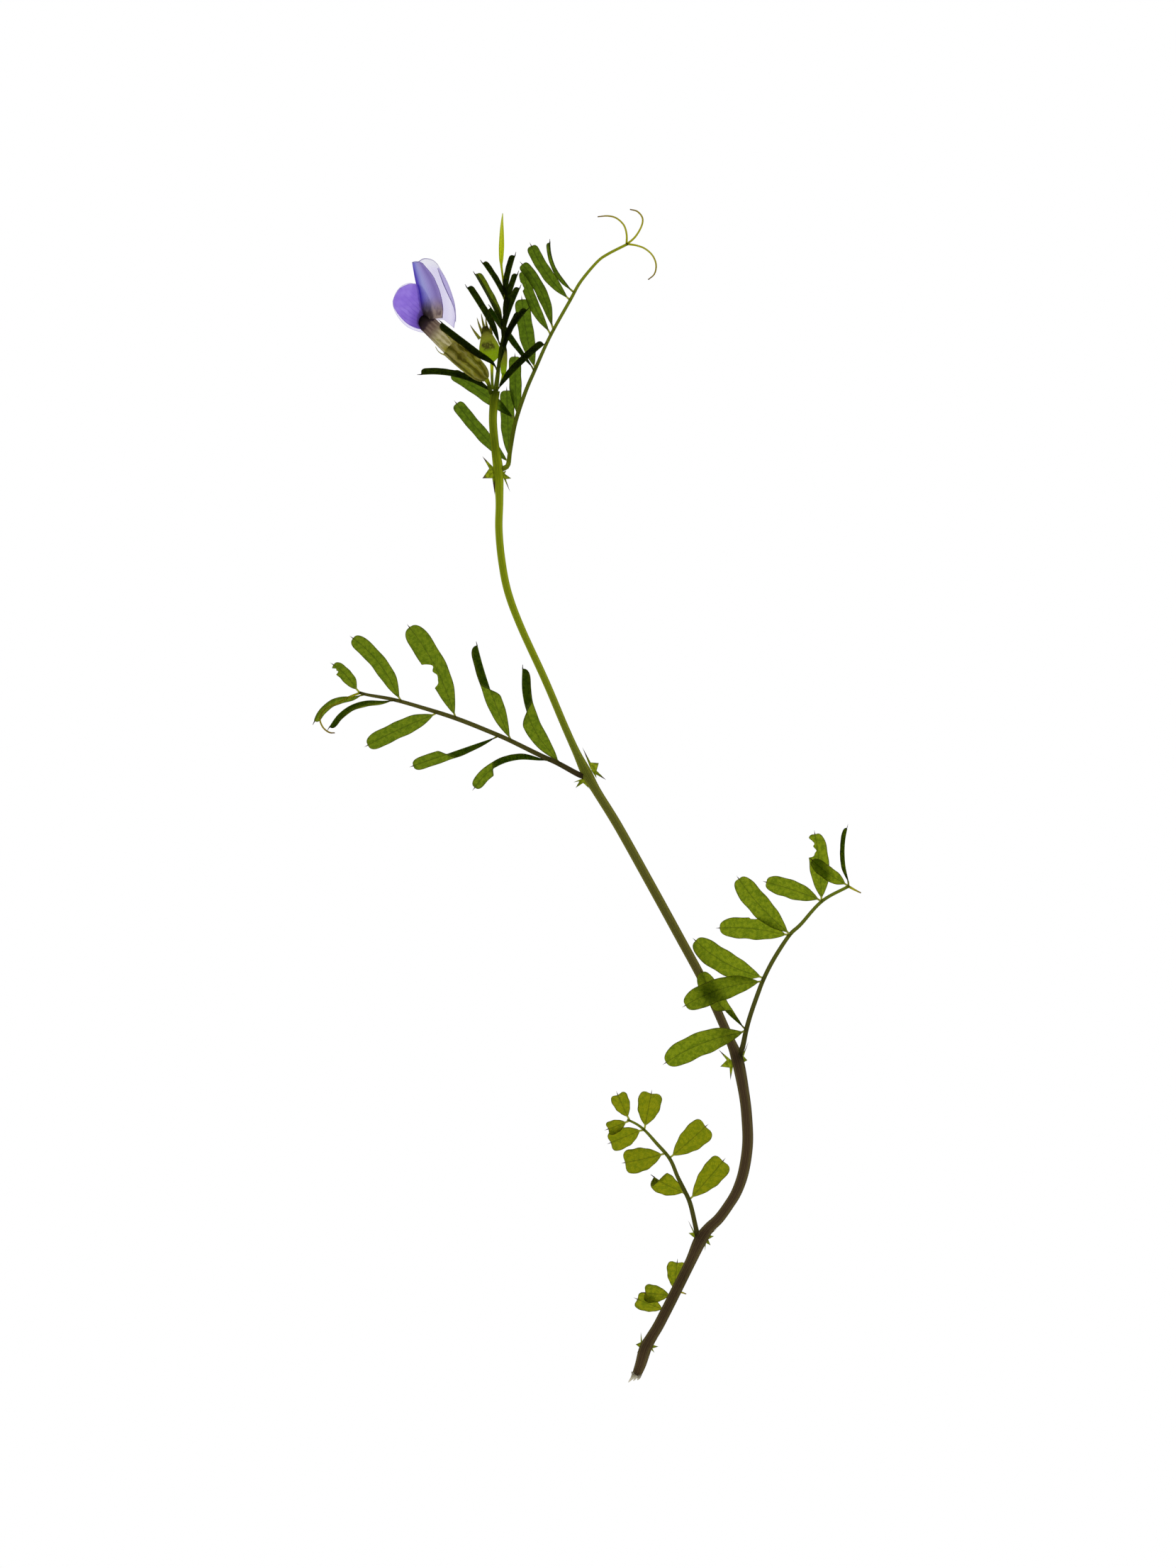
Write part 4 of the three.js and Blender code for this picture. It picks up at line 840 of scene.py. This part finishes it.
def pale_wing_colours(material):
    """Pale lilac at the rim, turning violet inwards."""
    rim = ease(material, mark(material, "edge"), 0.75, 0.2)
    colour = blend(material, rim, "#cabcee", "#e6e2f6")
    line = ease(material, mark(material, "edge"), 0.12, 0.02)
    return blend(material, sums(material, "MULTIPLY", line, 0.5), colour, "#8a7cc4")


def standard_colours(material):
    """Lilac white with a violet band beside the back fold, grey-brown towards the claw, and fine
    slanting veins in the wide outer half. Across runs from 0 at the near margin to 1 at the far."""
    across, along = mark(material, "across"), mark(material, "along")
    streaks = grain(material, 0.7, (1, 2.6, 1))
    colour = ramp(material, across, [
        (0.0, "#b9abd8"), (0.06, "#9b8bc2"), (0.12, "#b4aadc"), (0.2, "#bcc0ec"), (0.26, "#a2a4e4"),
        (0.3, "#7766d6"), (0.36, "#6f5ace"), (0.4, "#a494da"), (0.46, "#c6bcea"), (0.52, "#d6d1ec"),
        (0.6, "#e2dff0"), (0.8, "#d9d4ec"), (0.9, "#e2def0"), (1.0, "#cfc8e6"),
    ])
    veins = fine_veins(material, across, along, 26, 0.9)
    colour = blend(material, sums(material, "MULTIPLY", veins, 0.3), colour, "#8f80c4")
    cap = sums(material, "MULTIPLY", ease(material, along, 0.78, 0.95), ease(material, across, 0.38, 0.5))
    colour = blend(material, sums(material, "MULTIPLY", cap, 0.8), colour, "#e6e6ec")
    claw = sums(material, "MULTIPLY", ease(material, along, 0.42, 0.08), ease(material, across, 0.72, 0.5))
    brown = blend(material, ease(material, streaks, 0.4, 0.6), "#7d6c62", "#b5a48e")
    colour = blend(material, claw, colour, brown)
    rim = ease(material, mark(material, "edge"), 0.16, 0.03)
    return blend(material, sums(material, "MULTIPLY", rim, 0.85), colour, "#5b4398")


def sheet_between(name, lines, material, slot, replaced=(), thickness=PETAL, steps=40):
    """A petal as the smooth sheet through lengthwise lines, each from the claw to the tip in mm.

    The lines are resampled to the same number of steps, and then joined crossways by smooth lines."""
    lengthwise = []
    for line in lines:
        path = route(line, 0.1)
        places = np.linspace(0, 1, len(path))
        lengthwise.append([np.interp(np.linspace(0, 1, steps), places, path[:, k]) for k in range(3)])
    cross = np.array(lengthwise).transpose(2, 0, 1)
    crossways = [route(row, 0.02) for row in cross]
    columns = 8 * len(lines)
    middle = np.array([row[np.linspace(0, len(row) - 1, columns).round().astype(int)] for row in crossways])
    normal = unit(np.cross(np.gradient(middle, axis=0), np.gradient(middle, axis=1)))
    u = np.linspace(0, 1, middle.shape[1])[None]
    v = np.linspace(0, 1, steps)[:, None]
    half = thickness / 2 * (1 - 0.6 * np.abs(2 * u - 1) ** 8)
    layers = [middle + k * half[..., None] * normal for k in (1, -1)]
    rings = np.concatenate([layers[0], layers[1][:, ::-1]], axis=1)
    spans = np.linalg.norm(np.diff(middle, axis=1), axis=2).sum(axis=1)[:, None]
    edge = np.minimum(np.minimum(u, 1 - u) * spans, (1 - v) * 9)
    skin(name, rings, material, slot, replaced, across=both_faces(u + 0 * v), along=both_faces(v + 0 * u),
         edge=both_faces(edge))


wing_violet = petal_tissue("violet wing petal", wing_colours, clear=0.5)
wing_pale = petal_tissue("far wing petal", pale_wing_colours, clear=0.6)
sheet_between("near_wing", [
    [(-29, 82, 2.7), (-30.1, 82.2, 2.95), (-31.6, 83, 3), (-33, 84.4, 3), (-33.9, 85.8, 3), (-34.1, 86.8, 3)],
    [(-28.9, 82.6, 2.9), (-29.9, 83.5, 3.2), (-31.2, 84.4, 3.35), (-32.4, 85.5, 3.35), (-33.4, 86.6, 3.3),
     (-33.8, 87.7, 3.1)],
    [(-28.8, 83, 2.95), (-29.6, 84.4, 3.3), (-30.5, 85.8, 3.5), (-31.5, 87.2, 3.5), (-32.4, 88.5, 3.4),
     (-32.9, 89.1, 3.1)],
    [(-28, 83.3, 2.9), (-28.5, 85.1, 3.2), (-29.1, 86.8, 3.35), (-29.8, 88.2, 3.35), (-30.6, 89.3, 3.3),
     (-31.3, 89.9, 3.1)],
    [(-26.8, 83.4, 2.7), (-27, 85, 2.95), (-27.5, 86.7, 3), (-28.1, 88.2, 3), (-29, 89.5, 3), (-30.2, 90, 3)],
], wing_violet, "wing", ["wing_upper"])
sheet_between("far_wing", [
    [(-28.8, 81.5, 1.7), (-30.2, 81.9, 1.4), (-31.8, 82.7, 1.4), (-33.2, 84.2, 1.4), (-34, 85.8, 1.4),
     (-34.2, 87.1, 1.4)],
    [(-28.7, 81.9, 1.5), (-29.8, 83.2, 1.2), (-31, 84.4, 1), (-32.3, 85.8, 1), (-33.2, 87.2, 1.1),
     (-33.6, 88.7, 1.3)],
    [(-28.5, 82.4, 1.4), (-29.1, 84, 1), (-30.1, 85.7, 0.9), (-31, 87.4, 0.9), (-32, 88.9, 1),
     (-32.6, 89.8, 1.3)],
    [(-28.3, 82.9, 1.5), (-28.4, 84.4, 1.2), (-28.8, 86.1, 1), (-29.6, 87.9, 1), (-30.5, 89.4, 1.1),
     (-31.3, 90.3, 1.3)],
    [(-27.9, 83.2, 1.7), (-27.4, 85, 1.4), (-27.4, 86.6, 1.4), (-28.1, 88.2, 1.4), (-29.1, 89.3, 1.4),
     (-30.2, 90.1, 1.4)],
], wing_pale, "wing", ["wing_lower"])

standard_lilac = petal_tissue("lilac standard petal", standard_colours, clear=0.6)
sheet_between("standard", [
    [(-25.3, 83.9, 3.6), (-25.2, 85.7, 4.3), (-25.7, 88.2, 4.6), (-26.4, 90, 4.6), (-27.1, 91.4, 4.4),
     (-28.8, 93.5, 3.6)],
    [(-26.2, 83.8, 3.8), (-26.2, 85.7, 4.5), (-26.7, 88, 4.8), (-27.3, 89.9, 4.8), (-28.1, 91.4, 4.5),
     (-29.2, 93.7, 3.6)],
    [(-27, 83.7, 3.8), (-27.3, 85.8, 4.4), (-27.8, 88, 4.6), (-28.3, 90, 4.6), (-28.9, 91.9, 4.2),
     (-29.5, 93.8, 3.4)],
    [(-27.6, 83.6, 3.5), (-28.4, 85.8, 3.9), (-28.8, 88, 3.9), (-29.2, 90, 3.8), (-29.6, 91.9, 3.5),
     (-30.1, 93.9, 3)],
    [(-28.1, 83.5, 2.9), (-29.1, 85, 2.7), (-29.6, 87.2, 2.5), (-29.9, 89.4, 2.4), (-30.3, 91.4, 2.4),
     (-30.7, 93.8, 2.4)],
    [(-27.6, 83.5, 1.4), (-28.2, 85.8, 0.8), (-28.7, 88.2, 0.7), (-29.1, 90.5, 0.8), (-29.5, 92.4, 1.1),
     (-29.9, 93.9, 1.7)],
    [(-26.7, 83.6, 1), (-26.7, 85.8, 0.55), (-27, 88.5, 0.5), (-27.4, 91, 0.6), (-27.9, 92.8, 0.9),
     (-28.7, 94.6, 1.5)],
    [(-25.4, 83.9, 0.8), (-25.1, 85.4, 0.5), (-25.4, 88.2, 0.45), (-25.9, 90.6, 0.6), (-26.3, 92.7, 0.9),
     (-27.3, 94.4, 1.5)],
    [(-24.5, 83.3, 0.8), (-23.7, 85, 0.6), (-24, 87.8, 0.6), (-24.6, 90.2, 0.7), (-25.4, 92, 1),
     (-26.4, 93.7, 1.5)],
    [(-23.4, 82.4, 0.9), (-23.1, 84.7, 0.8), (-23.3, 86.8, 0.8), (-24, 89.1, 0.9), (-24.8, 91, 1.1),
     (-26, 93.1, 1.5)],
], standard_lilac, "standard", ["standard_petal"])


def rolled_colours(material):
    """Pale lilac with a dark inner edge."""
    line = ease(material, mark(material, "across"), 0.7, 1.0)
    return blend(material, line, "#d4cdea", "#4a3080")


rolled_lilac = petal_tissue("rolled margin of the standard", rolled_colours, clear=0.5)
sheet_between("standard_rolled_margin", [
    [(-23.1, 83.4, 0.95), (-23.1, 84.7, 0.95), (-23.3, 86.8, 0.95), (-24, 89.1, 1.05), (-24.8, 91, 1.25),
     (-26.1, 93, 1.65)],
    [(-23.1, 83.5, 1.15), (-23.1, 84.8, 1.2), (-23.5, 86.6, 1.2), (-24.25, 88.8, 1.25), (-25.1, 90.7, 1.45),
     (-26.2, 92.9, 1.75)],
    [(-23.2, 83.6, 1.1), (-23.2, 84.9, 1.1), (-23.65, 86.5, 1.1), (-24.5, 88.3, 1.2), (-25.35, 90.2, 1.4),
     (-26.3, 92.8, 1.7)],
], rolled_lilac, "standard")


def claw_colours(material):
    """Whitish, streaked with olive and brown, and dark towards the throat."""
    along, turn_mark = mark(material, "along"), mark(material, "turn")
    lines = sums(material, "SINE", sums(material, "MULTIPLY", turn_mark, 26 * math.pi))
    mixed = sums(material, "ADD", sums(material, "MULTIPLY", lines, 0.25), grain(material, 0.9))
    colour = blend(material, ease(material, mixed, 0.3, 0.75), "#d6cda6", "#8f8650")
    dusky = blend(material, ease(material, mixed, 0.4, 0.7), "#5e4a44", "#8c7868")
    edge = sums(material, "ADD", along, sums(material, "MULTIPLY", grain(material, 1.1), 0.12))
    colour = blend(material, ease(material, edge, 0.58, 0.76), colour, dusky)
    return blend(material, ease(material, edge, 0.82, 0.88), colour, "#2c2026")


claw_tissue = petal_tissue("petal claws", claw_colours, clear=0.3)
CLAW_FOOT, CLAW_LENGTH = 5, 11.25  # distance along the tube and length
CLAW_RADIUS = 1.65
claw_s = CLAW_FOOT + CLAW_LENGTH * np.sin(np.linspace(0, math.pi / 2, 60))[:, None]
claw_turn = np.linspace(0, 1, 48, endpoint=False)[None]
claw_end = np.clip((claw_s - CLAW_FOOT - CLAW_LENGTH) / CLAW_RADIUS + 1, 0, 1)
claw_radius = (CLAW_RADIUS + 0.1 * np.sin((claw_s - CLAW_FOOT) * 0.5)) * np.sqrt(1.002 - claw_end ** 2)
claw_rings = on_tube(claw_s + 0 * claw_turn, claw_radius * (1 + 0.02 * np.cos(26 * math.pi * claw_turn)),
                     2 * math.pi * claw_turn)
skin("petal_claws", claw_rings, claw_tissue, "standard",
     along=(claw_s - CLAW_FOOT) / CLAW_LENGTH + 0 * claw_turn, turn=claw_turn + 0 * claw_s)


def keel_colours(material):
    """Dark violet, almost black at the throat."""
    return blend(material, ease(material, mark(material, "along"), 0.2, 0.9), "#20161f", "#4a3480")


keel_violet = petal_tissue("dark keel petal", keel_colours, clear=0.2)
sheet_between("keel_boat", [
    [(-29.3, 82.2, 2.6), (-29.8, 83.2, 2.5), (-29.8, 84.3, 2.4), (-29.4, 85.2, 2.3)],
    [(-29, 82.7, 2.9), (-29.3, 83.8, 2.8), (-29.2, 84.8, 2.7), (-28.9, 85.8, 2.4)],
    [(-28.4, 83.1, 3), (-28.6, 84.2, 2.9), (-28.4, 85.4, 2.8), (-28.2, 86.6, 2.4)],
    [(-27.8, 83.5, 2.9), (-27.7, 84.6, 2.8), (-27.6, 85.6, 2.7), (-27.8, 86.8, 2.4)],
    [(-27.3, 83.9, 2.6), (-27.1, 84.7, 2.5), (-27.2, 85.6, 2.4), (-27.7, 86.9, 2.3)],
], keel_violet, "keel", ["keel"])


# ---- The buds ------------------------------------------------------------------------------------
# Beside the flower sit a plump hairy bud, with dark petals showing through its green calyx and a tuft
# of thin teeth, and a much smaller slender one.

bud_skin = new_material("bud calyx")
bud_along = mark(bud_skin, "along")
bud_base = ramp(bud_skin, bud_along,
                [(0, "#94b80c"), (0.3, "#8fae10"), (0.5, "#8a9420"), (0.75, "#7e7a2c"), (1, "#6e6430")])
bud_spots = ease(bud_skin, grain(bud_skin, 1.8, detail=1.0), 0.5, 0.62)
bud_belt = sums(bud_skin, "MULTIPLY", ease(bud_skin, bud_along, 0.25, 0.4),
                ease(bud_skin, bud_along, 0.65, 0.5))
bud_zone = sums(bud_skin, "MULTIPLY", bud_spots, bud_belt)
bud_colour = blend(bud_skin, bud_zone, bud_base, "#2c2416")
bud_colour = blend(bud_skin,
                   sums(bud_skin, "MULTIPLY", ease(bud_skin, grain(bud_skin, 0.35), 0.5, 0.75),
                        0.5), bud_colour, "#a4ac4c")
living(bud_skin, bud_colour, relief=grain(bud_skin, 0.3), depth=0.05)

# Each bud: its name, foot and heading, its outline as (distance, radius), how flat it is, and each
# tooth's side step, lean in degrees and length.
BUDS = [
    ("bud_1", (-16.7, 76.3, 1.6), 101,
     [(0, 0.35), (0.6, 1.2), (1.6, 1.8), (2.8, 1.75), (4, 1.35), (5.2, 0.9), (6.4, 0.5)],
     0.72, [(-1.3, -24, 3), (-0.6, -9, 3.2), (-0.1, -2, 3.4), (0.3, 3, 2.8), (0.8, 8, 2.2)]),
    ("bud_2", (-14.7, 74, 1.35), 88, [(0, 0.25), (0.8, 0.5), (2.6, 0.6), (4.4, 0.5), (5.2, 0.25)], 0.9,
     [(-0.1, -8, 2), (0.1, 6, 2.3)]),
]
BUD_STALKS = {
    "bud_1": [(-16.6, 71.5, 1.6, 0.55), (-16.7, 74, 1.5, 0.5), (-16.7, 76.6, 1.6, 0.7)],
    "bud_2": [(-15.3, 72.2, 1.6, 0.4), (-14.9, 73.4, 1.4, 0.4), (-14.7, 74.4, 1.35, 0.55)],
}
for name, foot, heading, profile, flatness, teeth in BUDS:
    way = np.array([math.cos(math.radians(heading)), math.sin(math.radians(heading)), 0])
    side = np.array([way[1], -way[0], 0])
    outline = route([(s, r, 0) for s, r in profile], 0.15)
    ring_turn = np.linspace(0, 2 * math.pi, 32, endpoint=False)
    body = np.array(foot) + outline[:, 0, None, None] * way
    body = body + (outline[:, 1:2] * np.cos(ring_turn))[..., None] * side
    body = body + (outline[:, 1:2] * np.sin(ring_turn))[..., None] * np.array([0, 0, flatness])
    skin(f"{name}_calyx", body, bud_skin, "bud", [name], along=outline[:, 0:1] / outline[-1, 0])
    stalk_piece(f"{name}_stalk", route(BUD_STALKS[name], 0.2), spike_green, "bud")
    top = np.array(foot) + way * (profile[-1][0] - 0.9)
    for number, (step, lean, length) in enumerate(teeth, 1):
        turned = math.radians(heading - lean)
        aim = np.array([math.cos(turned), math.sin(turned), 0.08])
        start = top + side * step - way * abs(step) * 0.8
        spine = route([start, start + aim * length * 0.55 - side * 0.06, start + aim * length], 0.15)
        taper = 0.3 * (1 - np.linspace(0, 1, len(spine))) ** 0.8 + 0.02
        skin(f"{name}_tooth_{number}", around(spine, taper[:, None], CORE), bud_skin, "bud",
             along=np.linspace(0.55, 1, len(spine))[:, None])
